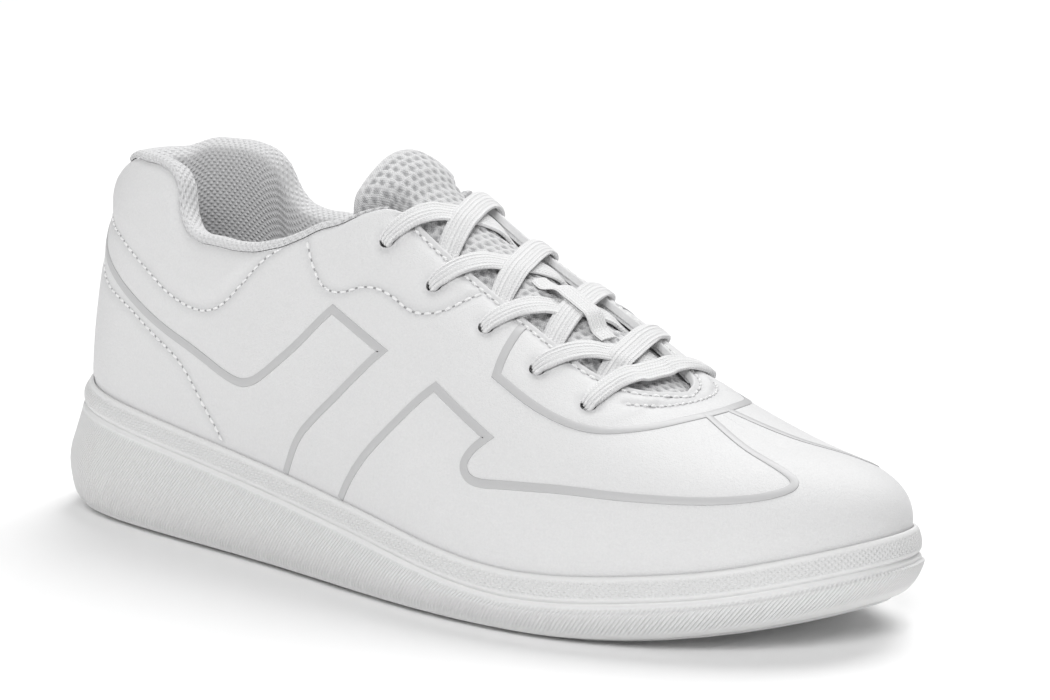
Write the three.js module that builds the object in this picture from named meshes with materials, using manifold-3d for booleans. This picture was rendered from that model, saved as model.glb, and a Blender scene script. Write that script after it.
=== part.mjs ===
// Court shoe, right foot: a low lace-up sports shoe on a rubber cup sole.
// Millimetres. +X points to the toe, +Y to the inner (medial) side, +Z up; the tread rests on z = 0.
import * as THREE from 'three';
import { mergeVertices } from 'three/addons/utils/BufferGeometryUtils.js';
import Module from 'manifold-3d';

// ---------------------------------------------------------------- overall sizes
const LENGTH = 300;            // outsole, heel to toe
const WIDTH = 107;             // outsole, widest
const RISE = 1.0;              // height factor of the upper above the sole edge
const TOE_SPRING = 13;         // how far the toe end of the tread lifts
const TOE_ROLL_START = 0.715;  // share of the length where the lift starts
const HEEL_BEVEL = 4.5;        // lift at the very back of the heel
const HEEL_ROLL_END = 0.085;

// plan outline of the sole: control points as shares of length, and mm from the centre line
const SIDE_X = [0.02, 0.08, 0.18, 0.293, 0.407, 0.52, 0.633, 0.74, 0.833, 0.913, 0.97];
const LATERAL_Y = [-20, -35, -40, -42.5, -46, -51.5, -54.5, -51.5, -42, -28, -10.5];
const MEDIAL_Y = [19, 32, 35.5, 35, 37, 42, 49, 52.5, 50.5, 44, 33];
const HEEL_END = [0, 0];
const TOE_END = [0.998, 13];

// height of the top edge of the sole, and how far that edge lies inside the plan outline
const EDGE_X = [0, 0.25, 0.5, 0.717, 0.867, 1];
const EDGE_Z = [42, 35, 27, 19, 23, 32];
const INSET_X = [0, 0.133, 0.333, 0.8, 1];
const INSET = [9.5, 6.3, 4.6, 3.6, 3.6];
// height of the level the foot rests on, below the edge
const BOARD_X = [0, 0.3, 0.5, 0.717, 0.867, 1];
const BOARD_Z = [17, 15.5, 13, 9.6, 13, 21.5];

// crest of the upper: height above the ground at shares of the length, and its sideways place
const SPINE_X = [0.193, 0.25, 0.333, 0.433, 0.5, 0.55, 0.6, 0.667, 0.733, 0.8, 0.873];
const SPINE_Z = [156, 157, 150, 124, 109, 99, 90.5, 79.5, 67.5, 58.5, 50.5];
const SPINE_YX = [0.193, 0.367, 0.5, 0.667, 0.82];
const SPINE_Y = [-1.5, -1, 1, 3.7, 6.2];
const SPINE_FROM = 0.193;
const SPINE_TO = 0.873;
const SPINE_SOFT = 0.04;
// roundness of the cross-section: power across and power upwards
const ROUND_X = [0.193, 0.4, 0.567, 0.82];
const ROUND_ACROSS = [1.7, 2.0, 2.05, 2.0];
const ROUND_UP = [1.6, 2.0, 2.2, 2.5];

// ---------------------------------------------------------------- layers of the upper
const GAP = 0.3;
const LAYER_GAP = 0.45;
const EYESTAY_SINK = 0.42;      // the eyestay lies this much deeper, clear of the bend of the skin
const SKIN = 1.4;              // outer microfibre
const BACKING = 1.0;           // eyestay reinforcement
const PUFF = 0.8;              // toe reinforcement
const PATCH = 0.7;             // reinforcement below the throat
const STIFFENER = 1.3;
const LINING = 1.0;
const FOAM = 4.4;              // collar padding
const RIM = 3.2;               // height of the rolled collar edge
const TONGUE_MESH = 1.8;
const TONGUE_FOAM = 4.0;
const TONGUE_LINING = 1.0;
const TONGUE_GAP = 0.8;        // between its layers
const LACE_WIDE = 7.4;
const LACE_THICK = 1.3;
const EYELET = 5.0;
const STRIPE_WIDE = 2.4;
const STRIPE_THICK = 0.4;

// ---------------------------------------------------------------- sole
const TREAD = 2.0;
const TREAD_INSET = 9;
const TREAD_BORDER = 4;        // plain margin round the grooves
const GROOVE_WIDE = 2.2;
const GROOVE_DEEP = 1.1;
const CUP_FLOOR = 3.0;
const LIP = 6.6;               // height of the rounded band along the top of the sole wall
const LIP_WIDE = 2.0;
const BEAD_GROOVE = 1.1;
const BOARD = 1.5;
const FOOTBED = 4.0;
const FOOTBED_COVER = 0.8;
const SHANK = [88, 20, 1.2];
const SHANK_SINK = 2.2;

// ---------------------------------------------------------------- openings and lines on the upper
// Places on the upper are given as [u, v]: u runs 0 at the heel centre to 1 at the toe centre,
// v is the angle up the side in degrees, 0 at the sole edge and 90 on the crest.
const TOPLINE = [
  [0, 40], [0.1, 40], [0.18, 42], [0.22, 42], [0.25, 41], [0.266, 38.5], [0.276, 34], [0.29, 31.2],
  [0.31, 30.2], [0.335, 30.2], [0.36, 31], [0.385, 34], [0.405, 39], [0.42, 44.5], [0.435, 50],
  [0.452, 59], [0.465, 65], [0.478, 68], [0.5, 68.5], [0.54, 69], [0.6, 69], [0.63, 69.5],
  [0.65, 71.5], [0.668, 75.5], [0.68, 81], [0.69, 90],
];
const SEAM_U = 0.54;           // where the quarters meet the vamp
const BACK_STRIP_U = 0.045;
const EYELETS = [[0.657, 58], [0.613, 57], [0.566, 57.5], [0.518, 57], [0.473, 56.5]];
const FOAM_LOW = [
  [0, 24], [0.16, 24], [0.22, 22], [0.3, 18.5], [0.33, 18.5], [0.36, 20.5], [0.385, 24.5],
  [0.405, 29.5], [0.42, 35], [0.435, 41], [0.452, 50], [0.465, 56],
];
const PATCH_LOW = [
  [0.425, 38], [0.435, 36], [0.452, 37.5], [0.47, 43], [0.49, 46], [0.512, 46.5], [0.53, 48], [0.55, 49],
  [0.6, 48], [0.64, 49], [0.672, 55],
];
const STRIPE_REAR = [
  [0.05, 31.5], [0.11, 28], [0.178, 24], [0.22, 21], [0.268, 17], [0.312, 14], [0.345, 11.5], [0.367, 11],
  [0.388, 14], [0.42, 22], [0.448, 33], [0.475, 33], [0.5, 33], [0.483, 25], [0.463, 17.5], [0.442, 11.5],
  [0.424, 6.5], [0.413, 1.2],
];
const STRIPE_FRONT = [
  [0.475, 1.2], [0.49, 7], [0.525, 20], [0.552, 34], [0.58, 32], [0.605, 30], [0.594, 24], [0.59, 19],
  [0.602, 16.5], [0.635, 21], [0.673, 25.5], [0.703, 27.5], [0.735, 29.5], [0.767, 31.5], [0.822, 34.5],
  [0.86, 37.5], [0.888, 42.5], [0.894, 50], [0.874, 61], [0.84, 70], [0.78, 78], [0.733, 83],
];
const STRIPE_THROAT = [
  [0.586, 64], [0.588, 55], [0.592, 47], [0.62, 46], [0.645, 47], [0.667, 49], [0.685, 53], [0.707, 63],
  [0.72, 76], [0.727, 90],
];

// ---------------------------------------------------------------- small maths
const rad = (deg) => deg * Math.PI / 180;
const clamp = (x, a, b) => Math.min(b, Math.max(a, x));
const lerp = (a, b, t) => a + (b - a) * t;
const smooth = (a, b, x) => {
  const t = clamp((x - a) / (b - a), 0, 1);
  return t * t * (3 - 2 * t);
};

// monotone cubic curve through a table of values
function curve(xs, ys) {
  const n = xs.length;
  const h = [];
  const g = [];
  for (let i = 0; i < n - 1; i++) {
    h.push(xs[i + 1] - xs[i]);
    g.push((ys[i + 1] - ys[i]) / h[i]);
  }
  const m = xs.map((_, i) => {
    if (i === 0) return g[0];
    if (i === n - 1) return g[n - 2];
    if (g[i - 1] * g[i] <= 0) return 0;
    const a = 2 * h[i] + h[i - 1];
    const b = h[i] + 2 * h[i - 1];
    return (a + b) / (a / g[i - 1] + b / g[i]);
  });
  return (x) => {
    const q = clamp(x, xs[0], xs[n - 1]);
    let i = 0;
    while (i < n - 2 && q > xs[i + 1]) i++;
    const t = (q - xs[i]) / h[i];
    const a = (1 + 2 * t) * (1 - t) * (1 - t) * ys[i] + t * (1 - t) * (1 - t) * h[i] * m[i];
    const b = t * t * (3 - 2 * t) * ys[i + 1] + t * t * (t - 1) * h[i] * m[i + 1];
    return a + b;
  };
}
const line = (pairs) => curve(pairs.map((p) => p[0]), pairs.map((p) => p[1]));

// ---------------------------------------------------------------- the foot-shaped outline
const OUTLINE = [
  [HEEL_END[0] * LENGTH, HEEL_END[1]],
  ...SIDE_X.map((x, i) => [x * LENGTH, LATERAL_Y[i]]),
  [TOE_END[0] * LENGTH, TOE_END[1]],
  ...SIDE_X.map((x, i) => [x * LENGTH, MEDIAL_Y[i]]).reverse(),
];

function closedSpline(t) {
  const n = OUTLINE.length;
  const w = (((t % 1) + 1) % 1) * n;
  const i = Math.floor(w);
  const f = w - i;
  const k = [(1 - f) ** 3, 3 * f ** 3 - 6 * f * f + 4, -3 * f ** 3 + 3 * f * f + 3 * f + 1, f ** 3];
  const d = [-3 * (1 - f) ** 2, 9 * f * f - 12 * f, -9 * f * f + 6 * f + 3, 3 * f * f];
  const p = [0, 0];
  const v = [0, 0];
  for (let j = 0; j < 4; j++) {
    const c = OUTLINE[(i + j - 1 + n) % n];
    for (let a = 0; a < 2; a++) {
      p[a] += k[j] * c[a] / 6;
      v[a] += d[j] * c[a] / 6;
    }
  }
  return [p, v];
}

const OUTLINE_FIT = (() => {
  const lo = [1e9, 1e9];
  const hi = [-1e9, -1e9];
  for (let i = 0; i < 1200; i++) {
    const [p] = closedSpline(i / 1200);
    for (let a = 0; a < 2; a++) {
      lo[a] = Math.min(lo[a], p[a]);
      hi[a] = Math.max(hi[a], p[a]);
    }
  }
  return { lo, k: [LENGTH / (hi[0] - lo[0]), WIDTH / (hi[1] - lo[1])] };
})();

// point of the sole outline; s is -1..1, negative on the lateral side, 0 at the heel, 1 at the toe
function outline(s, inset = 0) {
  const [p, v] = closedSpline(-s / 2);
  const { lo, k } = OUTLINE_FIT;
  const q = [(p[0] - lo[0]) * k[0], (p[1] - lo[1]) * k[1] - WIDTH / 2];
  const d = [v[0] * k[0], v[1] * k[1]];
  const l = Math.hypot(d[0], d[1]);
  const out = [d[1] / l, -d[0] / l];
  const face = out[0] * (q[0] - LENGTH / 2) + out[1] * q[1] < 0 ? -1 : 1;
  const normal = [face * out[0], face * out[1]];
  return { p: [q[0] - normal[0] * inset, q[1] - normal[1] * inset], n: normal };
}

const edgeZ = curve(EDGE_X.map((x) => x * LENGTH), EDGE_Z);
const edgeInset = curve(INSET_X.map((x) => x * LENGTH), INSET);
const boardZ = curve(BOARD_X.map((x) => x * LENGTH), BOARD_Z);
const spineZ = curve(SPINE_X.map((x) => x * LENGTH), SPINE_Z);
const spineY = curve(SPINE_YX.map((x) => x * LENGTH), SPINE_Y);
const roundAcross = curve(ROUND_X.map((x) => x * LENGTH), ROUND_ACROSS);
const roundUp = curve(ROUND_X.map((x) => x * LENGTH), ROUND_UP);

function groundZ(x) {
  const toe = clamp((x / LENGTH - TOE_ROLL_START) / (1 - TOE_ROLL_START), 0, 1);
  const heel = clamp((HEEL_ROLL_END - x / LENGTH) / HEEL_ROLL_END, 0, 1);
  return TOE_SPRING * toe * toe + HEEL_BEVEL * heel * heel;
}

const insetAt = (s) => edgeInset(clamp(outline(s).p[0], 0, LENGTH));
const base = (s) => outline(s, insetAt(s));

function spine(s) {
  const u = Math.abs(s);
  const x = (outline(u).p[0] + outline(-u).p[0]) / 2;
  const w = SPINE_SOFT * LENGTH;
  const a = SPINE_FROM * LENGTH;
  const b = SPINE_TO * LENGTH;
  const y = a + w * Math.log1p(Math.exp((x - a) / w));
  const z = b - w * Math.log1p(Math.exp((b - y) / w));
  return [z, spineY(z)];
}

// ---------------------------------------------------------------- the surface of the upper
// s: place along the outline; v: degrees up the side, or -1..0 for the part inside the sole
function skinFrame(s, v) {
  const e = 0.002;
  const b = base(s);
  const c = spine(s);
  const b1 = base(s + e).p;
  const b0 = base(s - e).p;
  const zr0 = edgeZ(b.p[0]);
  const top = zr0 + (spineZ(c[0]) - zr0) * RISE;
  if (v <= 0) {
    const z = zr0 + v * (zr0 - boardZ(b.p[0]) - GAP);
    return { p: [b.p[0], b.p[1], z], n: [b.n[0], b.n[1], 0] };
  }
  const phi = rad(Math.min(v, 90));
  const n = roundAcross(c[0]);
  const m = roundUp(c[0]);
  const cosv = Math.max(Math.cos(phi), 0);
  const rho = v >= 90 ? 0 : cosv ** (2 / n);
  const q = Math.sin(phi) ** (2 / m);
  const p = [c[0] + (b.p[0] - c[0]) * rho, c[1] + (b.p[1] - c[1]) * rho, zr0 + (top - zr0) * q];
  // slope in the plane through the spine, and along the shoe
  const r = Math.max(rho, 0.2);
  const c1 = spine(s + e);
  const c0 = spine(s - e);
  const tx = ((c1[0] - c0[0]) * (1 - r) + (b1[0] - b0[0]) * r) / (2 * e);
  const ty = ((c1[1] - c0[1]) * (1 - r) + (b1[1] - b0[1]) * r) / (2 * e);
  const z1 = edgeZ(b1[0]) + (spineZ(c1[0]) - edgeZ(b1[0])) * RISE * q;
  const z0 = edgeZ(b0[0]) + (spineZ(c0[0]) - edgeZ(b0[0])) * RISE * q;
  const tz = (z1 - z0) / (2 * e);
  const step = rad(0.5);
  const pa = Math.min(phi + step, rad(89.9));
  const pb = Math.max(phi - step, rad(0.01));
  const dr = Math.cos(pa) ** (2 / n) - Math.cos(pb) ** (2 / n);
  const dq = Math.sin(pa) ** (2 / m) - Math.sin(pb) ** (2 / m);
  const ux = (b.p[0] - c[0]) * dr;
  const uy = (b.p[1] - c[1]) * dr;
  const uz = (top - zr0) * dq;
  let side = [ty * uz - tz * uy, tz * ux - tx * uz, tx * uy - ty * ux];
  const flip = side[0] * (b.p[0] - c[0]) + side[1] * (b.p[1] - c[1]) < 0 ? -1 : 1;
  const l = Math.hypot(...side) * flip;
  side = side.map((k) => k / l);
  const slope = (spineZ(c[0] + 2) - spineZ(c[0] - 2)) / 4;
  const end = SPINE_TO * LENGTH;
  const damp = 1 - smooth(end - 0.12 * LENGTH, end, c[0]) * 0.35;
  const crest = [-slope * damp, 0, 1];
  const cl = Math.hypot(...crest);
  const t = smooth(0.28, 0.0, rho);
  const mix = side.map((k, i) => lerp(k, crest[i] / cl, t));
  const ml = Math.hypot(...mix);
  return { p, n: mix.map((k) => k / ml) };
}

function skin(s, v, d) {
  const f = skinFrame(s, v);
  return [f.p[0] + f.n[0] * d - LENGTH / 2, f.p[1] + f.n[1] * d, f.p[2] + f.n[2] * d];
}

// ---------------------------------------------------------------- mesh helpers
const wasm = await Module();
wasm.setup();

function toGeometry(points, triangles) {
  const g = new THREE.BufferGeometry();
  g.setAttribute('position', new THREE.Float32BufferAttribute(points.flat(), 3));
  g.setIndex(triangles.flat());
  return g;
}

function weld(g, tolerance = 1e-3) {
  g.deleteAttribute('normal');
  g.deleteAttribute('uv');
  const w = mergeVertices(g, tolerance);
  const idx = w.index.array;
  const keep = [];
  for (let i = 0; i < idx.length; i += 3) {
    if (idx[i] !== idx[i + 1] && idx[i + 1] !== idx[i + 2] && idx[i] !== idx[i + 2]) {
      keep.push(idx[i], idx[i + 1], idx[i + 2]);
    }
  }
  w.setIndex(keep);
  return faceOut(w);
}

function volume(g) {
  const p = g.attributes.position;
  const idx = g.index.array;
  const a = new THREE.Vector3();
  const b = new THREE.Vector3();
  const c = new THREE.Vector3();
  let sum = 0;
  for (let i = 0; i < idx.length; i += 3) {
    a.fromBufferAttribute(p, idx[i]);
    b.fromBufferAttribute(p, idx[i + 1]);
    c.fromBufferAttribute(p, idx[i + 2]);
    sum += a.dot(b.cross(c)) / 6;
  }
  return sum;
}

function faceOut(g) {
  if (volume(g) < 0) {
    const idx = Array.from(g.index.array);
    for (let i = 0; i < idx.length; i += 3) {
      const t = idx[i];
      idx[i] = idx[i + 1];
      idx[i + 1] = t;
    }
    g.setIndex(idx);
  }
  return g;
}

function solid(g) {
  const w = weld(g.clone());
  const mesh = new wasm.Mesh({
    numProp: 3,
    vertProperties: Float32Array.from(w.attributes.position.array),
    triVerts: Uint32Array.from(w.index.array),
  });
  return new wasm.Manifold(mesh);
}

function fromSolid(m) {
  const bodies = m.decompose().sort((a, b) => b.volume() - a.volume());
  const mesh = bodies[0].getMesh();
  const points = [];
  for (let i = 0; i < mesh.vertProperties.length; i += mesh.numProp) {
    points.push(Array.from(mesh.vertProperties.slice(i, i + 3)));
  }
  const triangles = [];
  for (let i = 0; i < mesh.triVerts.length; i += 3) {
    triangles.push(Array.from(mesh.triVerts.slice(i, i + 3)));
  }
  return weld(toGeometry(points, triangles));
}

// a closed ring section swept over a row of stations; stations[i][j] are 3-D points
function sweep(stations, closed = false) {
  const n = stations[0].length;
  const points = stations.flat();
  const tri = [];
  const last = closed ? stations.length : stations.length - 1;
  for (let i = 0; i < last; i++) {
    const k = (i + 1) % stations.length;
    for (let j = 0; j < n; j++) {
      const a = i * n + j;
      const b = i * n + (j + 1) % n;
      const c = k * n + (j + 1) % n;
      const d = k * n + j;
      tri.push([a, b, c], [a, c, d]);
    }
  }
  if (!closed) {
    const cap = (row, flip) => {
      const ring = stations[row];
      const flat = THREE.ShapeUtils.triangulateShape(flatten(ring), []);
      flat.forEach(([a, b, c]) => {
        const f = [row * n + a, row * n + b, row * n + c];
        tri.push(flip ? [f[0], f[2], f[1]] : f);
      });
    };
    cap(0, true);
    cap(stations.length - 1, false);
  }
  return weldCaps(points, tri);
}

// caps must wind opposite to the wall they close
function weldCaps(points, tri) {
  const g = toGeometry(points, tri);
  const idx = tri.map((t) => t.slice());
  const edges = new Map();
  idx.forEach((t, i) => {
    for (let k = 0; k < 3; k++) {
      const key = `${t[k]}_${t[(k + 1) % 3]}`;
      edges.set(key, (edges.get(key) || []).concat(i));
    }
  });
  const clash = Array.from(edges.values()).some((v) => v.length > 1);
  if (clash) throw new Error('a cap winds the wrong way');
  return weld(g);
}

// projects a near-planar ring to 2-D for triangulation, wound the same way as the ring
function flatten(ring) {
  const c = new THREE.Vector3();
  ring.forEach((p) => c.add(new THREE.Vector3(...p)));
  c.multiplyScalar(1 / ring.length);
  const normal = new THREE.Vector3();
  ring.forEach((p, i) => {
    const q = ring[(i + 1) % ring.length];
    const a = new THREE.Vector3(...p).sub(c);
    const b = new THREE.Vector3(...q).sub(c);
    normal.add(a.cross(b));
  });
  normal.normalize();
  const x = new THREE.Vector3(...ring[0]).sub(c).normalize();
  const y = normal.clone().cross(x);
  return ring.map((p) => {
    const v = new THREE.Vector3(...p).sub(c);
    return new THREE.Vector2(v.dot(x), v.dot(y));
  });
}

// a slab between two grids of points, outer and inner, closed round its edge
function slab(outer, inner) {
  const rows = outer.length;
  const cols = outer[0].length;
  const points = [...outer.flat(), ...inner.flat()];
  const off = rows * cols;
  const at = (i, j) => i * cols + j;
  const tri = [];
  for (let i = 0; i < rows - 1; i++) {
    for (let j = 0; j < cols - 1; j++) {
      const q = [at(i, j), at(i + 1, j), at(i + 1, j + 1), at(i, j + 1)];
      tri.push([q[0], q[1], q[2]], [q[0], q[2], q[3]]);
      tri.push([off + q[0], off + q[2], off + q[1]], [off + q[0], off + q[3], off + q[2]]);
    }
  }
  const rim = [];
  for (let i = 0; i < rows - 1; i++) rim.push([at(i, 0), at(i + 1, 0)]);
  for (let j = 0; j < cols - 1; j++) rim.push([at(rows - 1, j), at(rows - 1, j + 1)]);
  for (let i = rows - 1; i > 0; i--) rim.push([at(i, cols - 1), at(i - 1, cols - 1)]);
  for (let j = cols - 1; j > 0; j--) rim.push([at(0, j), at(0, j - 1)]);
  rim.forEach(([a, b]) => tri.push([a, off + a, off + b], [a, off + b, b]));
  return dropTwins(toGeometry(points, tri));
}

// after welding, pairs of faces that lie back to back (where a slab meets itself) are removed
function dropTwins(g) {
  const w = weld(g);
  const seen = new Map();
  const idx = Array.from(w.index.array);
  for (let i = 0; i < idx.length; i += 3) {
    const key = [idx[i], idx[i + 1], idx[i + 2]].sort((a, b) => a - b).join('_');
    seen.set(key, (seen.get(key) || []).concat(i));
  }
  const drop = new Set();
  seen.forEach((v) => {
    if (v.length > 1) v.forEach((i) => drop.add(i));
  });
  const keep = [];
  for (let i = 0; i < idx.length; i += 3) {
    if (!drop.has(i)) keep.push(idx[i], idx[i + 1], idx[i + 2]);
  }
  w.setIndex(keep);
  return faceOut(w);
}

// evenly spaced values from a to b
function steps(a, b, n) {
  const out = [];
  for (let i = 0; i <= n; i++) out.push(a + (b - a) * i / n);
  return out;
}

// every layer of the upper bends at the same stations, so that the layers stay parallel
const STATIONS = [
  0, 0.035, 0.07, 0.105, 0.14, 0.175, 0.21, 0.235, 0.254, 0.267, 0.276, 0.288, 0.305, 0.325, 0.345, 0.365,
  0.385, 0.405, 0.42, 0.437, 0.453, 0.466, 0.48, 0.5, 0.525, 0.555, 0.585, 0.61, 0.632, 0.652, 0.668, 0.68,
  0.69, 0.715, 0.745, 0.775, 0.805, 0.835, 0.865, 0.9, 0.935, 0.968, 1,
];
function stations(from, to) {
  const lo = Math.min(from, to);
  const hi = Math.max(from, to);
  const both = [...STATIONS.slice(1).map((u) => -u).reverse(), ...STATIONS];
  const inside = both.filter((u) => u > lo + 0.004 && u < hi - 0.004);
  const all = [lo, ...inside, hi];
  return from < to ? all : all.reverse();
}

// a panel of the upper: stations s, lower and upper limits in v, outer and inner offsets
function panel(stations, low, high, outer, inner, rows, extra = []) {
  const grid = (d) => stations.map((s) => {
    const a = low(s);
    const b = high(s);
    const vs = [];
    if (a < 0) vs.push(a);
    for (const k of extra) vs.push(a < 0 ? a * k : a);
    const from = Math.max(a, 0);
    for (let j = 0; j <= rows; j++) vs.push(lerp(from, b, j / rows));
    return vs.map((v) => skin(s, v, typeof d === 'function' ? d(s, v) : d));
  });
  return fromSolid(solid(slab(grid(outer), grid(inner))));
}

// ---------------------------------------------------------------- materials
function material(color, roughness, metalness = 0) {
  return new THREE.MeshStandardMaterial({ color, roughness, metalness });
}
const WHITE_MICROFIBRE = material(0xeeeeed, 0.5);
const WHITE_RUBBER = material(0xe9e9e8, 0.62);
const WHITE_MESH = material(0xdedede, 0.9);
const WHITE_FOAM = material(0xe2e1de, 0.95);
const WHITE_WEBBING = material(0xf0f0ef, 0.85);
const GREY_FILM = material(0xb4b5b6, 0.45);
const BOARD_GREY = material(0xc9c6bf, 0.9);
const STIFF_WHITE = material(0xd8d6d0, 0.7);

const group = new THREE.Group();
group.name = 'court_shoe';
function add(name, geometry, mat) {
  const mesh = new THREE.Mesh(geometry, mat);
  mesh.name = name;
  geometry.computeVertexNormals();
  group.add(mesh);
  return mesh;
}

// ---------------------------------------------------------------- sole parts
// a plate between two heights inside the outline, between two shares of the length
function plate(inset, zLow, zHigh, from = 0, to = 1, n = 34) {
  const us = steps(from, to, n);
  const ring = (u) => {
    const i = typeof inset === 'function' ? inset : () => inset;
    const a = outline(-u, i(-u)).p;
    const b = outline(u, i(u)).p;
    return [
      [a[0] - LENGTH / 2, a[1], zLow(a[0])], [b[0] - LENGTH / 2, b[1], zLow(b[0])],
      [b[0] - LENGTH / 2, b[1], zHigh(b[0])], [a[0] - LENGTH / 2, a[1], zHigh(a[0])],
    ];
  };
  const rings = us.map(ring);
  const n4 = 4;
  const points = rings.flat();
  const tri = [];
  for (let i = 0; i < rings.length - 1; i++) {
    for (let j = 0; j < n4; j++) {
      const a = i * n4 + j;
      const b = i * n4 + (j + 1) % n4;
      tri.push([a, b, b + n4], [a, b + n4, a + n4]);
    }
  }
  const e = (rings.length - 1) * n4;
  tri.push([0, 2, 1], [0, 3, 2], [e, e + 1, e + 2], [e, e + 2, e + 3]);
  return dropTwins(toGeometry(points, tri));
}

function wallRings() {
  const top = (x) => edgeZ(x);
  const low = (x) => groundZ(x) + TREAD + GAP;
  const lip = (s) => insetAt(s) - LIP_WIDE;
  const z = {
    foot: (x) => low(x),
    round: (x) => low(x) + 1.1,
    wall: (x) => low(x) + 3.6,
    belly: (x, b) => lerp(low(x), top(b), 0.28) + 2,
    shoulder: (x, b) => top(b) - LIP - 2.6,
    grooveLow: (x, b) => top(b) - LIP - 1.6,
    grooveHigh: (x, b) => top(b) - LIP - 0.5,
    lipLow: (x, b) => top(b) - LIP + 0.2,
    lipHigh: (x, b) => top(b) - 1.4,
    crown: (x, b) => top(b) + 0.1,
    inner: (x, b) => top(b) - 0.4,
    floor: (x) => low(x) + CUP_FLOOR,
  };
  return [
    [() => 6.4, z.foot],
    [() => 3.1, z.round],
    [() => 1.1, z.wall],
    [() => 0, z.belly],
    [(s) => lip(s) * 0.72, z.shoulder],
    [(s) => lip(s) * 0.8 + BEAD_GROOVE, z.grooveLow],
    [(s) => lip(s) * 0.84 + BEAD_GROOVE, z.grooveHigh],
    [(s) => lip(s) * 0.84, z.lipLow],
    [(s) => lip(s) + 0.1, z.lipHigh],
    [(s) => lip(s) + 0.9, z.crown],
    [(s) => insetAt(s) - GAP, z.inner],
    [(s) => insetAt(s) - GAP, z.floor],
  ];
}

function cupSole() {
  const n = 56;
  const rings = wallRings();
  const points = [];
  const us = [];
  for (let i = 0; i < n; i++) us.push(-1 + 2 * i / n);
  rings.forEach(([inset, z]) => us.forEach((s) => {
    const p = outline(s, inset(s)).p;
    points.push([p[0] - LENGTH / 2, p[1], z(p[0], base(s).p[0])]);
  }));
  const tri = [];
  for (let r = 0; r < rings.length - 1; r++) {
    for (let i = 0; i < n; i++) {
      const a = r * n + i;
      const b = r * n + (i + 1) % n;
      tri.push([a, b, b + n], [a, b + n, a + n]);
    }
  }
  // flat ends as ladders between the two sides
  const ladder = (r, flip) => {
    for (let k = 0; k < n / 2; k++) {
      const a = r * n + k;
      const b = r * n + (n - k) % n;
      const c = r * n + (n - k - 1) % n;
      const d = r * n + k + 1;
      const face = (t) => {
        if (new Set(t).size === 3) tri.push(flip ? [t[0], t[2], t[1]] : t);
      };
      face([a, b, c]);
      face([a, c, d]);
    }
  };
  ladder(0, false);
  ladder(rings.length - 1, true);
  return weldCaps(points, tri);
}

function treadPlate(from, to) {
  const plain = plate(TREAD_INSET, groundZ, (x) => groundZ(x) + TREAD, from, to, 16);
  const ends = [outline(from, TREAD_INSET).p[0], outline(to, TREAD_INSET).p[0]];
  const lo = Math.min(...ends) + 14;
  const hi = Math.max(...ends) - 10;
  const count = Math.max(2, Math.round((hi - lo) / 19));
  const inner = TREAD_INSET + TREAD_BORDER;
  const field = solid(plate(inner, (x) => groundZ(x) - 5, (x) => groundZ(x) + 5, from, to, 16));
  let body = solid(plain);
  for (let i = 0; i <= count; i++) {
    const groove = solid(zigzag(lerp(lo, hi, i / count)));
    body = body.subtract(groove.intersect(field));
  }
  return fromSolid(body);
}

// one zigzag groove across the tread
function zigzag(x) {
  const shape = [];
  const teeth = 6;
  const half = WIDTH / 2;
  for (let i = 0; i <= teeth; i++) {
    shape.push([x + (i % 2 ? 3 : -3) - LENGTH / 2, lerp(-half, half, i / teeth)]);
  }
  const path = shape.map((p) => [...p, groundZ(x)]);
  return sweep(path.map((p) => [
    [p[0] - GROOVE_WIDE / 2, p[1], p[2] - 3], [p[0] + GROOVE_WIDE / 2, p[1], p[2] - 3],
    [p[0] + GROOVE_WIDE / 2, p[1], p[2] + GROOVE_DEEP], [p[0] - GROOVE_WIDE / 2, p[1], p[2] + GROOVE_DEEP],
  ]));
}

function block(x, y, z, w, d, h) {
  const g = new THREE.BoxGeometry(w, d, h);
  g.translate(x, y, z + h / 2);
  return g;
}

const LINED = SKIN + STIFFENER + LINING + 2 * LAYER_GAP + GAP;   // depth of the upper where it meets the board
const SHANK_X = 0.42 * LENGTH - LENGTH / 2;

function midsoleCore() {
  const body = plate((s) => insetAt(s), (x) => groundZ(x) + TREAD + 2 * GAP + CUP_FLOOR, boardZ, 0, 1, 30);
  const [w, d, h] = SHANK;
  const z = boardZ(0.42 * LENGTH);
  const pocket = block(SHANK_X, 0, z - h - 4 * GAP - SHANK_SINK, w + 2 * GAP, d + 2 * GAP, h + 20);
  return fromSolid(solid(body).subtract(solid(pocket)));
}

function shank() {
  const [w, d, h] = SHANK;
  return block(SHANK_X, 0, boardZ(0.42 * LENGTH) - h - 3 * GAP - SHANK_SINK, w, d, h);
}

function buildSole() {
  add('cup_sole', cupSole(), WHITE_RUBBER);
  add('tread_heel', treadPlate(0, 0.37), WHITE_RUBBER);
  add('tread_forefoot', treadPlate(0.47, 1), WHITE_RUBBER);
  add('midsole_core', midsoleCore(), WHITE_FOAM);
  add('shank', shank(), STIFF_WHITE);
  const boardInset = (s) => insetAt(s) + LINED;
  add('lasting_board', plate(boardInset, (x) => boardZ(x) + GAP, (x) => boardZ(x) + GAP + BOARD), BOARD_GREY);
  const bedInset = (s) => insetAt(s) + LINED + 0.6;
  const bed = (x) => boardZ(x) + BOARD + 2 * GAP;
  add('footbed', plate(bedInset, bed, (x) => bed(x) + FOOTBED), WHITE_FOAM);
  const cover = (x) => bed(x) + FOOTBED + GAP;
  add('footbed_cover', plate(bedInset, cover, (x) => cover(x) + FOOTBED_COVER), WHITE_MESH);
}

// ---------------------------------------------------------------- upper
const topline = line(TOPLINE);
const topOf = (s) => (Math.abs(s) >= 0.69 ? 90 : topline(Math.abs(s)));
const SIDE_GAP = GAP / (1.05 * LENGTH);

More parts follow.
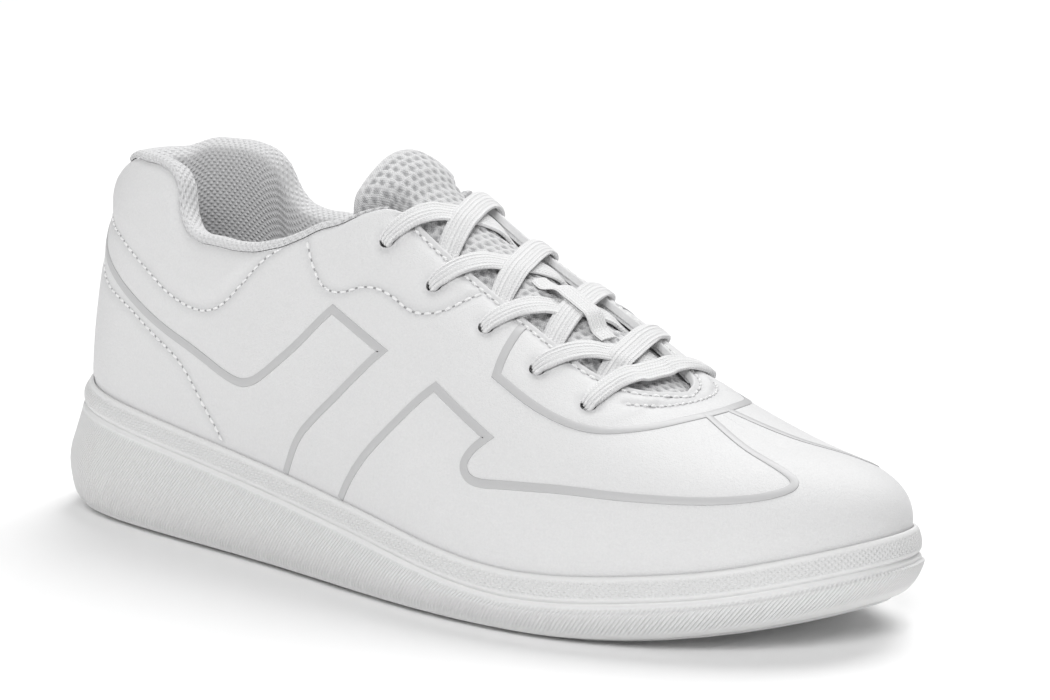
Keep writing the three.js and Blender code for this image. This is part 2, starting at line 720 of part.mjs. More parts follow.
function eyeletPins(list) {
  return list.map(([u, v, side]) => {
    const f = skinFrame(u * side, v);
    const g = new THREE.CylinderGeometry(EYELET / 2, EYELET / 2, 12, 12);
    g.rotateX(Math.PI / 2);
    const forward = new THREE.Vector3(1, 0, 0);
    const m = new THREE.Matrix4().lookAt(new THREE.Vector3(...f.n), new THREE.Vector3(), forward);
    g.applyMatrix4(m);
    g.translate(f.p[0] - LENGTH / 2, f.p[1], f.p[2]);
    return solid(g);
  });
}

function punched(geometry, pins) {
  let body = solid(geometry);
  pins.forEach((pin) => {
    body = body.subtract(pin);
  });
  return fromSolid(body);
}

function pinsFrom(test, sides) {
  const chosen = EYELETS.filter(([u]) => test(u));
  return sides.flatMap((side) => chosen.map((e) => [...e, side]));
}

function vampPanel(from, outer, inner, rows, low = () => -1, high = topOf) {
  const right = stations(from, 1);
  const round = [...right, ...right.slice(0, -1).reverse().map((s) => -s)];
  return panel(round, low, high, outer, inner, rows);
}

function buildUpper() {
  const vamp = vampPanel(SEAM_U + SIDE_GAP, 0, -SKIN, 6);
  add('vamp', punched(vamp, eyeletPins(pinsFrom((u) => u > SEAM_U, [-1, 1]))), WHITE_MICROFIBRE);
  [['lateral', -1], ['medial', 1]].forEach(([name, side]) => {
    const st = stations(side * (BACK_STRIP_U + SIDE_GAP), side * (SEAM_U - SIDE_GAP));
    const q = panel(st, () => -1, topOf, 0, -SKIN, 5);
    add(`quarter_${name}`, punched(q, eyeletPins(pinsFrom((u) => u < SEAM_U, [side]))), WHITE_MICROFIBRE);
  });
  const strip = stations(-BACK_STRIP_U + SIDE_GAP, BACK_STRIP_U - SIDE_GAP);
  add('back_strip', panel(strip, () => -1, topOf, 0, -SKIN, 6), WHITE_MICROFIBRE);
}

// reinforcements hidden between the skin and the lining
function buildReinforcements() {
  const out = -SKIN - LAYER_GAP - EYESTAY_SINK;
  const patch = line(PATCH_LOW);
  [['lateral', -1], ['medial', 1]].forEach(([name, side]) => {
    const st = stations(side * 0.42, side * 0.668);
    const g = panel(st, (s) => patch(Math.abs(s)), (s) => topOf(s) - 1.2, out, out - BACKING, 3);
    add(`eyestay_${name}`, punched(g, eyeletPins(pinsFrom(() => true, [side]))), STIFF_WHITE);
  });
  const hidden = -SKIN - LAYER_GAP;
  const deep = hidden - 0.2;
  const puffTop = (s) => lerp(12, 52, smooth(0.85, 0.93, Math.abs(s)));
  const puff = vampPanel(0.85, deep, deep - PUFF, 5, () => -1, puffTop);
  add('toe_puff', puff, STIFF_WHITE);
  const heel = stations(-0.3, 0.3);
  const heelTop = (s) => lerp(20, 6, smooth(0.16, 0.3, Math.abs(s)));
  add('heel_stiffener', panel(heel, () => -1, heelTop, hidden, hidden - STIFFENER, 3), STIFF_WHITE);
}

// padded collar: foam pad and the lining that rolls over the top edge
function buildCollar() {
  const out = -SKIN - LAYER_GAP;
  const low = line(FOAM_LOW);
  const st = stations(-0.462, 0.462);
  const foamIn = (s) => out - lerp(FOAM, 1.4, smooth(0.38, 0.45, Math.abs(s)));
  const patchGap = (s) => (BACKING + LAYER_GAP + EYESTAY_SINK) * smooth(0.385, 0.405, Math.abs(s));
  const foam = panel(st, (s) => low(Math.abs(s)), (s) => topOf(s) - 0.6,
    (s) => out - patchGap(s), (s) => foamIn(s) - patchGap(s), 2);
  add('collar_foam', foam, WHITE_FOAM);
  // section of the lining: inside face, over the top and down to the skin edge
  const ring = (s) => {
    const t = topOf(s);
    const l = low(Math.abs(s));
    const inside = foamIn(s) - patchGap(s) - GAP;
    const deep = inside - LINING;
    const mid = deep / 2;
    const deg = degreesPerMm(s, t);
    return [
      skin(s, l - 1.5, inside),
      skin(s, lerp(l, t, 0.5), inside),
      skin(s, t + 0.4 * deg, inside),
      skin(s, t + 0.5 * deg, mid),
      skin(s, t + 0.5 * deg, -0.1),
      skin(s, t + (RIM * 0.55) * deg, 0.25),
      skin(s, t + RIM * deg, mid * 0.6),
      skin(s, t + RIM * 0.9 * deg, lerp(mid, deep, 0.5)),
      skin(s, t + RIM * 0.2 * deg, deep - 0.2),
      skin(s, lerp(l, t, 0.5), deep - 0.2),
      skin(s, l - 1.5, deep),
    ];
  };
  add('collar_lining', sweep(st.map(ring)), WHITE_MESH);
}

// degrees of v that make one millimetre up the side at this place
function degreesPerMm(s, v) {
  const a = skinFrame(s, v - 1).p;
  const b = skinFrame(s, v + 1).p;
  return 2 / Math.hypot(a[0] - b[0], a[1] - b[1], a[2] - b[2]);
}

// linings below the padding and inside the vamp
function buildLinings() {
  const out = -SKIN - STIFFENER - 2 * LAYER_GAP;
  const low = line(FOAM_LOW);
  [['lateral', -1], ['medial', 1]].forEach(([name, side]) => {
    const st = stations(side * SIDE_GAP, side * (SEAM_U - SIDE_GAP));
    const high = (s) => {
      const u = Math.abs(s);
      const under = low(u) - 3.2;
      const front = topOf(s) - 26;
      return lerp(under, Math.max(under, front), smooth(0.47, 0.5, u));
    };
    add(`quarter_lining_${name}`, panel(st, () => -1, high, out, out - LINING, 3), WHITE_MESH);
  });
  const vampTop = (s) => lerp(43, 90, smooth(TONGUE_END_U + 0.004, TONGUE_END_U + 0.045, Math.abs(s)));
  add('vamp_lining', vampPanel(SEAM_U + SIDE_GAP, out, out - LINING, 5, () => -1, vampTop), WHITE_MESH);
}

// ---------------------------------------------------------------- tongue
// over[theta]: 0 lateral sole edge, 90 crest, 180 medial sole edge
const over = (u, theta, d) => (theta <= 90 ? skin(-u, theta, d) : skin(u, 180 - theta, d));
const TONGUE_TOP_U = 0.443;
const TONGUE_END_U = 0.735;
const TONGUE_PAD_END_U = 0.69;
const TONGUE_HALF = [
  [0.443, 37], [0.466, 40], [0.5, 41], [0.6, 36], [0.65, 32], [0.7, 25], [0.735, 20],
];
const tongueHalf = line(TONGUE_HALF);
const TONGUE_ROUND = 0.013;    // how far the corners of the free end are cut back
const TONGUE_CROWN = 2.2;      // the free end stands this much higher, above the topmost eyelets
const LACE_DEEP = Math.max(LACE_THICK, EYELET * 0.34);   // thickest part of the lace under the eyestay
const UNDER_LACE = SKIN + BACKING + 2 * LAYER_GAP + EYESTAY_SINK + LACE_DEEP + 2 * GAP + 0.6;
const TONGUE_BASE = -SKIN - LAYER_GAP - PATCH - 0.35;
const tongueMargin = (u) => -lerp(UNDER_LACE + 2.2, UNDER_LACE, smooth(0.47, 0.51, u));
const TONGUE_CENTRE = -SKIN - BACKING - 2 * LAYER_GAP - 0.5;
function tongueOuter(u, theta) {
  const v = theta <= 90 ? theta : 180 - theta;
  const free = smooth(0.472, 0.455, u);
  const held = Math.max(69, u < 0.69 ? topline(u) : 90);
  const edge = lerp(held, topline(u) + 8, free);
  const flat = smooth(0.68, 0.708, u);
  const rise = lerp(smooth(edge + 1, edge + lerp(13, 10, free), v), 1, flat);
  const crown = TONGUE_CENTRE + TONGUE_CROWN * free;
  return lerp(tongueMargin(u), lerp(crown, TONGUE_BASE, flat), rise);
}

// the free end is rounded: its rows bend back towards the sides
const tongueRow = (u, k) => u + TONGUE_ROUND * k ** 2.5 * smooth(0.495, TONGUE_TOP_U, u);

function tongueLayer(top, thick, toU) {
  const us = stations(TONGUE_TOP_U, toU);
  const cols = 10;
  const grid = (extra) => us.map((u) => {
    const half = tongueHalf(u);
    const row = [];
    for (let j = 0; j <= cols; j++) {
      const k = -1 + 2 * j / cols;
      const theta = 90 + half * Math.sign(k) * Math.abs(k) ** 0.85;
      const thin = lerp(1, 0.55, (Math.abs(theta - 90) / tongueHalf(u)) ** 3);
      const place = tongueRow(u, Math.abs(k));
      row.push(over(place, theta, tongueOuter(place, theta) + top * thin - extra * thin));
    }
    return row;
  });
  return fromSolid(solid(slab(grid(0), grid(thick))));
}

const KEEPER_U = [0.557, 0.62];    // its two sewn ends
const KEEPER_HALF = 4;             // half its width, degrees about the crest
const KEEPER_THICK = 0.7;
// strap sewn to the tongue at both ends, arching over the crossing of the laces between two rows
function keeper() {
  const [a, b] = KEEPER_U;
  const n = 12;
  const low = TONGUE_CENTRE + GAP + 0.1;
  const top = HIGH_CROSS + HALF_T + GAP;
  const rows = steps(0, 1, n).map((k) => {
    const lift = smooth(0.06, 0.3, k) * smooth(0.94, 0.7, k);
    return { u: lerp(a, b, k), d: lerp(low, top, lift) };
  });
  const across4 = [-1, -0.33, 0.33, 1];
  const row = (r, extra) => across4.map((k) => over(r.u, 90 + k * KEEPER_HALF, r.d + extra));
  const grid = (extra) => rows.map((r) => row(r, extra));
  return slab(grid(KEEPER_THICK), grid(0));
}

function buildTongue() {
  add('tongue_mesh', tongueLayer(0, TONGUE_MESH, TONGUE_END_U), WHITE_MESH);
  const foamTop = -(TONGUE_MESH + TONGUE_GAP);
  add('tongue_foam', tongueLayer(foamTop, TONGUE_FOAM, TONGUE_PAD_END_U), WHITE_FOAM);
  const liningTop = foamTop - TONGUE_FOAM - TONGUE_GAP;
  const lining = tongueLayer(liningTop, TONGUE_LINING, TONGUE_PAD_END_U);
  add('tongue_lining', lining, WHITE_MESH);
}

// ---------------------------------------------------------------- lace
// a knot of the lace: place [u, theta], height d, half width and half thickness
const HALF_W = LACE_WIDE / 2;
const HALF_T = LACE_THICK / 2;
const BUNCH_W = EYELET * 0.37;
const BUNCH_T = EYELET * 0.17;
const OUTSIDE = HALF_T + GAP + 0.1;
const INSIDE = -(SKIN + BACKING + 2 * LAYER_GAP + EYESTAY_SINK + BUNCH_T + 0.3);
const LOW_CROSS = TONGUE_CENTRE + 0.5 + HALF_T;
const HIGH_CROSS = LOW_CROSS + LACE_THICK + 0.4;
const knot = (u, theta, d, w, h) => ({ u, theta, d, w, h });
const sideTheta = (v, side) => (side < 0 ? v : 180 - v);

// through an eyelet; up is true when the lace comes out of it
function throughEyelet(k, side, up) {
  const [u, v] = EYELETS[k];
  const theta = sideTheta(v, side);
  const row = [
    knot(u, theta, INSIDE - 0.1, BUNCH_W, BUNCH_T),
    knot(u, theta, INSIDE * 0.45, BUNCH_W, BUNCH_T),
    knot(u, theta, OUTSIDE * 0.45, BUNCH_W, BUNCH_T),
  ];
  return up ? row : row.reverse();
}

// across the tongue from one side to the other; each end is over or under the eyestay
function across(a, b, startOver, endOver, cross) {
  const out = [];
  const edgeNear = Math.max(69, topline(a.u) + 0.5);
  const edgeFar = Math.max(69, topline(b.u) + 0.5);
  const at = (theta) => lerp(a.u, b.u, (theta - a.theta) / (b.theta - a.theta));
  const dir = Math.sign(b.theta - a.theta);
  const rowOf = (v, near) => (dir * (near ? 1 : -1) > 0 ? v : 180 - v);
  const level = (isOver, v) => {
    if (isOver) return lerp(OUTSIDE + 0.2, OUTSIDE, smooth(60, 66, v));
    return INSIDE;
  };
  const push = (v, near, d, w, h) => {
    const theta = rowOf(v, near);
    out.push(knot(at(theta), theta, d, w, h));
  };
  push(61, true, level(startOver, 61), lerp(BUNCH_W, HALF_W, 0.35), lerp(BUNCH_T, HALF_T, 0.5));
  push(edgeNear - 1, true, startOver ? OUTSIDE : INSIDE + 0.15, HALF_W * 0.78, HALF_T);
  const inThroat = (isOver) => (isOver ? lerp(OUTSIDE, cross, 0.35) : LOW_CROSS - 0.35);
  push(edgeNear + 7, true, inThroat(startOver), HALF_W * 0.95, HALF_T);
  push(84, true, lerp(cross, startOver ? OUTSIDE : LOW_CROSS, 0.12), HALF_W, HALF_T);
  out.push(knot(at(90), 90, cross, HALF_W, HALF_T));
  push(84, false, lerp(cross, endOver ? OUTSIDE : LOW_CROSS, 0.12), HALF_W, HALF_T);
  push(edgeFar + 7, false, inThroat(endOver), HALF_W * 0.95, HALF_T);
  push(edgeFar - 1, false, endOver ? OUTSIDE : INSIDE + 0.15, HALF_W * 0.78, HALF_T);
  push(61, false, level(endOver, 61), lerp(BUNCH_W, HALF_W, 0.35), lerp(BUNCH_T, HALF_T, 0.5));
  return out;
}

// from the bar at the toe the lace dips into an eyelet, comes out from under that side's edge,
// crosses to the next eyelet of the other side and dips into it; the end stays inside the last one
const END_STUB = { u: 0.006, v: 8 };
function halfLace(side) {
  const path = [];
  for (let k = 0; k < EYELETS.length; k++) {
    const here = side * (k % 2 ? -1 : 1);
    const [u, v] = EYELETS[k];
    path.push(...throughEyelet(k, here, false));
    if (k + 1 < EYELETS.length) {
      const from = { u, theta: sideTheta(v, here) };
      const to = { u: EYELETS[k + 1][0], theta: sideTheta(EYELETS[k + 1][1], -here) };
      path.push(...across(from, to, false, true, here < 0 ? HIGH_CROSS : LOW_CROSS));
    } else {
      path.push(knot(u + END_STUB.u * 0.4, sideTheta(v + END_STUB.v * 0.4, here), INSIDE, BUNCH_W, BUNCH_T));
      path.push(knot(u + END_STUB.u, sideTheta(v + END_STUB.v, here), INSIDE, BUNCH_W, BUNCH_T));
    }
  }
  return path;
}

function lacePath() {
  const [u, v] = EYELETS[0];
  const bar = across({ u, theta: v }, { u, theta: 180 - v }, true, true, lerp(LOW_CROSS, OUTSIDE, 0.4));
  return [...halfLace(-1).reverse(), ...bar, ...halfLace(1)];
}

function flatCord(path) {
  const centre = path.map((k) => new THREE.Vector3(...over(k.u, k.theta, k.d)));
  const normal = path.map((k) => {
    const a = new THREE.Vector3(...over(k.u, k.theta, 0));
    const b = new THREE.Vector3(...over(k.u, k.theta, 1));
    return b.sub(a).normalize();
  });
  const tangent = centre.map((_, i) => {
    const a = centre[Math.max(i - 1, 0)];
    const b = centre[Math.min(i + 1, centre.length - 1)];
    return b.clone().sub(a).normalize();
  });
  // the width lies in the surface, across the run; inside a hole it is carried over from its neighbours
  const flat = centre.map((_, i) => {
    const a = centre[Math.max(i - 3, 0)];
    const b = centre[Math.min(i + 3, centre.length - 1)];
    const run = b.clone().sub(a);
    run.addScaledVector(normal[i], -run.dot(normal[i]));
    return normal[i].clone().cross(run).normalize();
  });
  const stationsOut = centre.map((c, i) => {
    const w = flat[i].clone();
    w.addScaledVector(tangent[i], -w.dot(tangent[i])).normalize();
    const h = tangent[i].clone().cross(w).normalize();
    const ring = [];
    for (let j = 0; j < 8; j++) {
      const a = rad(22.5 + 45 * j);
      const x = Math.cos(a) / Math.cos(rad(22.5));
      const y = Math.sin(a) / Math.cos(rad(22.5));
      const flatten8 = Math.abs(x) > 0.9 ? 0.45 : 1;
      const up = Math.sign(y) * path[i].h * flatten8;
      const p = c.clone().addScaledVector(w, x * path[i].w).addScaledVector(h, up);
      ring.push(p.toArray());
    }
    return ring;
  });
  return sweep(stationsOut);
}

function buildLace() {
  add('lace', flatCord(lacePath()), WHITE_WEBBING);
  add('lace_keeper', keeper(), WHITE_WEBBING);
}

// ---------------------------------------------------------------- grey film stripes on the skin
function ribbon(path) {
  const low = GAP;
  const high = low + STRIPE_THICK;
  const at = (k, d) => new THREE.Vector3(...over(k[0], k[1], d));
  const dense = [];
  path.forEach((k, i) => {
    if (i === 0) {
      dense.push(k);
      return;
    }
    const prev = path[i - 1];
    const n = Math.max(1, Math.round(at(prev, 0).distanceTo(at(k, 0)) / 5));
    for (let j = 1; j <= n; j++) dense.push([lerp(prev[0], k[0], j / n), lerp(prev[1], k[1], j / n)]);
  });
  const base0 = dense.map((k) => at(k, 0));
  const rows = dense.map((k, i) => {
    const n = at(k, 1).sub(base0[i]).normalize();
    const a = base0[Math.max(i - 1, 0)];
    const b = base0[Math.min(i + 1, dense.length - 1)];
    const into = base0[i].clone().sub(a).normalize();
    const outOf = b.clone().sub(base0[i]).normalize();
    const run = into.clone().add(outOf).normalize();
    const bend = Math.sqrt(Math.max((1 + into.dot(outOf)) / 2, 0.3));
    const isEnd = i === 0 || i === dense.length - 1;
    const half = STRIPE_WIDE / 2 / (isEnd ? 1 : bend);
    const w = n.clone().cross(run).normalize();
    const p = (x, d) => base0[i].clone().addScaledVector(w, x).addScaledVector(n, d).toArray();
    return [p(-half, low), p(half, low), p(half, high), p(-half, high)];
  });
  return sweep(rows);
}

function buildStripes() {
  const medial = (list) => list.map(([u, v]) => [u, 180 - v]);
  add('stripe_rear_lateral', ribbon(STRIPE_REAR), GREY_FILM);
  add('stripe_front_lateral', ribbon(STRIPE_FRONT), GREY_FILM);
  add('stripe_front_medial', ribbon(medial(STRIPE_FRONT)), GREY_FILM);
  const loop = [...STRIPE_THROAT, ...medial(STRIPE_THROAT).slice(0, -1).reverse()];
  add('stripe_throat', ribbon(loop), GREY_FILM);
}

function buildThroatPatch() {
  const us = [0.692, 0.7, 0.708, 0.716];
  const half = 20;
  const grid = (d) => us.map((u) => steps(-1, 1, 8).map((k) => over(u, 90 + k * half, d)));
  const top = -SKIN - LAYER_GAP;
  add('throat_patch', slab(grid(top), grid(top - PATCH)), STIFF_WHITE);
}

buildSole();
buildUpper();
buildReinforcements();
buildCollar();
buildLinings();
buildThroatPatch();
buildTongue();
buildLace();
buildStripes();
export default group;
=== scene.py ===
"""Court shoe, right foot: detailed upper, padding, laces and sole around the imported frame.

Sizes are in millimetres until a mesh is made; the frame itself is in metres.
+X points to the toe, +Y to the inner (medial) side, +Z up.
"""
import math

import bpy
import numpy as np
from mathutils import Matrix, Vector
from mathutils.kdtree import KDTree


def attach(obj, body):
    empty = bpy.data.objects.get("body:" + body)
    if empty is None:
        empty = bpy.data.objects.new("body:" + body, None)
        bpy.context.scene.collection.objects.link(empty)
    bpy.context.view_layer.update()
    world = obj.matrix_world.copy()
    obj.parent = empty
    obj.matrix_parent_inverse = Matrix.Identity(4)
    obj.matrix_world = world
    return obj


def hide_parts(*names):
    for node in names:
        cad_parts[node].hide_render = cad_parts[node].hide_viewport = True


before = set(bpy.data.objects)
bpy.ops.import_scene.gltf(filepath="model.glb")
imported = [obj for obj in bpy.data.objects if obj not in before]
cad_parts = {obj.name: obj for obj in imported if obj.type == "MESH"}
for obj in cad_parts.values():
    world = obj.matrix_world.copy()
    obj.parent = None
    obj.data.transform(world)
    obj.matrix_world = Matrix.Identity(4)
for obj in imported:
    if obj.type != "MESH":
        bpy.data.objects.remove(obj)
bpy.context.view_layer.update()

# ------------------------------------------------------------------ sizes shared with the design
MM = 0.001
LENGTH, WIDTH = 300.0, 107.0
TOE_SPRING, TOE_ROLL_START = 13.0, 0.715
HEEL_BEVEL, HEEL_ROLL_END = 4.5, 0.085

SIDE_X = [0.02, 0.08, 0.18, 0.293, 0.407, 0.52, 0.633, 0.74, 0.833, 0.913, 0.97]
LATERAL_Y = [-20, -35, -40, -42.5, -46, -51.5, -54.5, -51.5, -42, -28, -10.5]
MEDIAL_Y = [19, 32, 35.5, 35, 37, 42, 49, 52.5, 50.5, 44, 33]
HEEL_END, TOE_END = [0, 0], [0.998, 13]

EDGE_X = [0, 0.25, 0.5, 0.717, 0.867, 1]
EDGE_Z = [42, 35, 27, 19, 23, 32]
INSET_X = [0, 0.133, 0.333, 0.8, 1]
INSET = [9.5, 6.3, 4.6, 3.6, 3.6]
BOARD_X = [0, 0.3, 0.5, 0.717, 0.867, 1]
BOARD_Z = [17, 15.5, 13, 9.6, 13, 21.5]

SPINE_X = [0.193, 0.25, 0.333, 0.433, 0.5, 0.55, 0.6, 0.667, 0.733, 0.8, 0.873]
SPINE_Z = [156, 157, 150, 124, 109, 99, 90.5, 79.5, 67.5, 58.5, 50.5]
SPINE_YX = [0.193, 0.367, 0.5, 0.667, 0.82]
SPINE_Y = [-1.5, -1, 1, 3.7, 6.2]
SPINE_FROM, SPINE_TO, SPINE_SOFT = 0.193, 0.873, 0.04
ROUND_X = [0.193, 0.4, 0.567, 0.82]
ROUND_ACROSS = [1.7, 2.0, 2.05, 2.0]
ROUND_UP = [1.6, 2.0, 2.2, 2.5]

GAP, LAYER_GAP, EYESTAY_SINK = 0.3, 0.45, 0.42
SKIN, BACKING, PATCH, STIFFENER, LINING = 1.4, 1.0, 0.7, 1.3, 1.0
FOAM, RIM = 4.4, 3.2
TONGUE_MESH, TONGUE_FOAM, TONGUE_LINING = 1.8, 4.0, 1.0
LACE_WIDE, LACE_THICK, EYELET = 7.4, 1.3, 5.0
STRIPE_WIDE = 2.4
TREAD, CUP_FLOOR = 2.0, 3.0
LIP, LIP_WIDE = 6.6, 2.0

# places on the upper: u from heel 0 to toe 1, and v in degrees up the side from the sole to the crest
TOPLINE = [
    (0, 40), (0.1, 40), (0.18, 42), (0.22, 42), (0.25, 41), (0.266, 38.5), (0.276, 34), (0.29, 31.2),
    (0.31, 30.2), (0.335, 30.2), (0.36, 31), (0.385, 34), (0.405, 39), (0.42, 44.5), (0.435, 50),
    (0.452, 59), (0.465, 65), (0.478, 68), (0.5, 68.5), (0.54, 69), (0.6, 69), (0.63, 69.5),
    (0.65, 71.5), (0.668, 75.5), (0.68, 81), (0.69, 90),
]
THROAT_END_U = 0.69
SEAM_U, BACK_STRIP_U = 0.54, 0.045
EYELETS = [(0.657, 58), (0.613, 57), (0.566, 57.5), (0.518, 57), (0.473, 56.5)]
FOAM_LOW = [
    (0, 24), (0.16, 24), (0.22, 22), (0.3, 18.5), (0.33, 18.5), (0.36, 20.5), (0.385, 24.5),
    (0.405, 29.5), (0.42, 35), (0.435, 41), (0.452, 50), (0.465, 56),
]
STRIPE_REAR = [
    (0.05, 31.5), (0.11, 28), (0.178, 24), (0.22, 21), (0.268, 17), (0.312, 14), (0.345, 11.5), (0.367, 11),
    (0.388, 14), (0.42, 22), (0.448, 33), (0.475, 33), (0.5, 33), (0.483, 25), (0.463, 17.5), (0.442, 11.5),
    (0.424, 6.5), (0.413, 0.1),
]
STRIPE_FRONT = [
    (0.474, 0.1), (0.49, 7), (0.525, 20), (0.552, 34), (0.58, 32), (0.605, 30), (0.594, 24), (0.59, 19),
    (0.602, 16.5), (0.635, 21), (0.673, 25.5), (0.703, 27.5), (0.735, 29.5), (0.767, 31.5), (0.822, 34.5),
    (0.86, 37.5), (0.888, 42.5), (0.894, 50), (0.874, 61), (0.84, 70), (0.78, 78), (0.724, 84.5),
]
STRIPE_THROAT = [
    (0.585, 66), (0.588, 55), (0.592, 47), (0.62, 46), (0.645, 47), (0.667, 49), (0.685, 53), (0.707, 63),
    (0.72, 76), (0.727, 90),
]
STRIPE_CORNERS = {(0.448, 33), (0.5, 33), (0.552, 34), (0.605, 30), (0.592, 47)}
STRIPE_CORNERS |= {(u, 180 - v) for u, v in STRIPE_CORNERS}

# sewn lines that show on the skin
STITCH_COLLAR = [
    (0, 33), (0.09, 32), (0.16, 30), (0.19, 29), (0.22, 27), (0.245, 25), (0.273, 22), (0.308, 20),
    (0.332, 21), (0.352, 25), (0.368, 29), (0.387, 34),
]
STITCH_HEEL = [
    (0.05, 27.5), (0.11, 24.5), (0.165, 21), (0.22, 19), (0.262, 15), (0.293, 12), (0.32, 6), (0.342, 1),
]
STITCH_EYESTAY = [
    (0.413, 40), (0.422, 37), (0.435, 35), (0.452, 37), (0.47, 43), (0.49, 46), (0.512, 46), (0.528, 50),
    (0.538, 55), (0.548, 65),
]
STITCH_CRESCENT = [(0.676, 67), (0.685, 70), (0.698, 78), (0.704, 90)]
STITCH_LONG, STITCH_SPACE, STITCH_THICK = 2.3, 0.8, 0.36
SEAM_DEEP, SEAM_WIDE = 0.65, 1.5
EDGE_ROW = 2.2                 # the row of stitches that follows the throat edge

KEEPER_U, KEEPER_HALF, KEEPER_THICK = (0.557, 0.62), 4.0, 0.7


# ------------------------------------------------------------------ small maths
def smooth(a, b, x):
    t = np.clip((np.asarray(x, float) - a) / (b - a), 0, 1)
    return t * t * (3 - 2 * t)


def lerp(a, b, t):
    return a + (b - a) * t


def hermite(t, h, a, b, slope_a, slope_b):
    """The cubic from a to b over a stretch h, with its slope at both ends; t runs from 0 to 1."""
    near = (1 + 2 * t) * (1 - t) ** 2 * a + t * (1 - t) ** 2 * h * slope_a
    return near + t * t * (3 - 2 * t) * b + t * t * (t - 1) * h * slope_b


def curve(xs, ys):
    """Monotone cubic curve through a table of values, for numbers and arrays."""
    xs, ys = np.array(xs, float), np.array(ys, float)
    h = np.diff(xs)
    g = np.diff(ys) / h
    m = np.zeros(len(xs))
    m[0], m[-1] = g[0], g[-1]
    for i in range(1, len(xs) - 1):
        if g[i - 1] * g[i] > 0:
            a, b = 2 * h[i] + h[i - 1], h[i] + 2 * h[i - 1]
            m[i] = (a + b) / (a / g[i - 1] + b / g[i])

    def at(x):
        q = np.clip(np.asarray(x, float), xs[0], xs[-1])
        i = np.clip(np.searchsorted(xs, q, side="right") - 1, 0, len(xs) - 2)
        t = (q - xs[i]) / h[i]
        return hermite(t, h[i], ys[i], ys[i + 1], m[i], m[i + 1])

    return at


def table(pairs):
    return curve([p[0] for p in pairs], [p[1] for p in pairs])


def run_along(points):
    """Distance along a line of points, from 0 at its start."""
    return np.concatenate([[0], np.cumsum(np.linalg.norm(np.diff(points, axis=0), axis=1))])


def square_to(v, n):
    """The part of v that is square to the unit vector n."""
    return v - n * np.sum(v * n, -1, keepdims=True)


def unit(v):
    return v / np.maximum(np.linalg.norm(v, axis=-1, keepdims=True), 1e-12)


# ------------------------------------------------------------------ the foot-shaped outline
OUTLINE = np.array(
    [[HEEL_END[0] * LENGTH, HEEL_END[1]]]
    + [[x * LENGTH, y] for x, y in zip(SIDE_X, LATERAL_Y)]
    + [[TOE_END[0] * LENGTH, TOE_END[1]]]
    + [[x * LENGTH, y] for x, y in zip(SIDE_X, MEDIAL_Y)][::-1],
    float,
)


def closed_spline(t):
    """Point and direction of the uniform cubic B-spline round OUTLINE."""
    n = len(OUTLINE)
    w = np.mod(np.asarray(t, float), 1.0) * n
    i = np.floor(w).astype(int)
    f = w - i
    k = [(1 - f) ** 3, 3 * f**3 - 6 * f * f + 4, -3 * f**3 + 3 * f * f + 3 * f + 1, f**3]
    d = [-3 * (1 - f) ** 2, 9 * f * f - 12 * f, -9 * f * f + 6 * f + 3, 3 * f * f]
    p = sum(k[j][..., None] * OUTLINE[(i + j - 1) % n] for j in range(4)) / 6
    v = sum(d[j][..., None] * OUTLINE[(i + j - 1) % n] for j in range(4)) / 6
    return p, v


_samples = closed_spline(np.arange(1200) / 1200)[0]
OUTLINE_LOW = _samples.min(0)
OUTLINE_SCALE = np.array([LENGTH, WIDTH]) / (_samples.max(0) - OUTLINE_LOW)


def outline(s, inset=0.0):
    """x, y and the outward direction; s is -1..1, negative on the lateral side, 0 at the heel."""
    p, v = closed_spline(-np.asarray(s, float) / 2)
    q = (p - OUTLINE_LOW) * OUTLINE_SCALE - np.array([0, WIDTH / 2])
    d = unit(v * OUTLINE_SCALE)
    out = np.stack([d[..., 1], -d[..., 0]], -1)
    side = np.sum(out * (q - np.array([LENGTH / 2, 0])), -1)
    out = out * np.where(side < 0, -1.0, 1.0)[..., None]
    q = q - out * np.asarray(inset, float)[..., None]
    return q[..., 0], q[..., 1], out[..., 0], out[..., 1]


def by_length(xs, ys):
    return curve([x * LENGTH for x in xs], ys)


edge_z = by_length(EDGE_X, EDGE_Z)
edge_inset = by_length(INSET_X, INSET)
board_z = by_length(BOARD_X, BOARD_Z)
spine_z = by_length(SPINE_X, SPINE_Z)
spine_y = by_length(SPINE_YX, SPINE_Y)
round_across = by_length(ROUND_X, ROUND_ACROSS)
round_up = by_length(ROUND_X, ROUND_UP)
topline = table(TOPLINE)
foam_low = table(FOAM_LOW)


def ground_z(x):
    toe = np.clip((x / LENGTH - TOE_ROLL_START) / (1 - TOE_ROLL_START), 0, 1)
    heel = np.clip((HEEL_ROLL_END - x / LENGTH) / HEEL_ROLL_END, 0, 1)
    return TOE_SPRING * toe * toe + HEEL_BEVEL * heel * heel


def inset_at(s):
    return edge_inset(np.clip(outline(s)[0], 0, LENGTH))


def base(s):
    return outline(s, inset_at(s))


def spine(s):
    u = np.abs(s)
    x = (outline(u)[0] + outline(-u)[0]) / 2
    w, a, b = SPINE_SOFT * LENGTH, SPINE_FROM * LENGTH, SPINE_TO * LENGTH
    y = a + w * np.log1p(np.exp((x - a) / w))
    z = b - w * np.log1p(np.exp((b - y) / w))
    return z, spine_y(z)


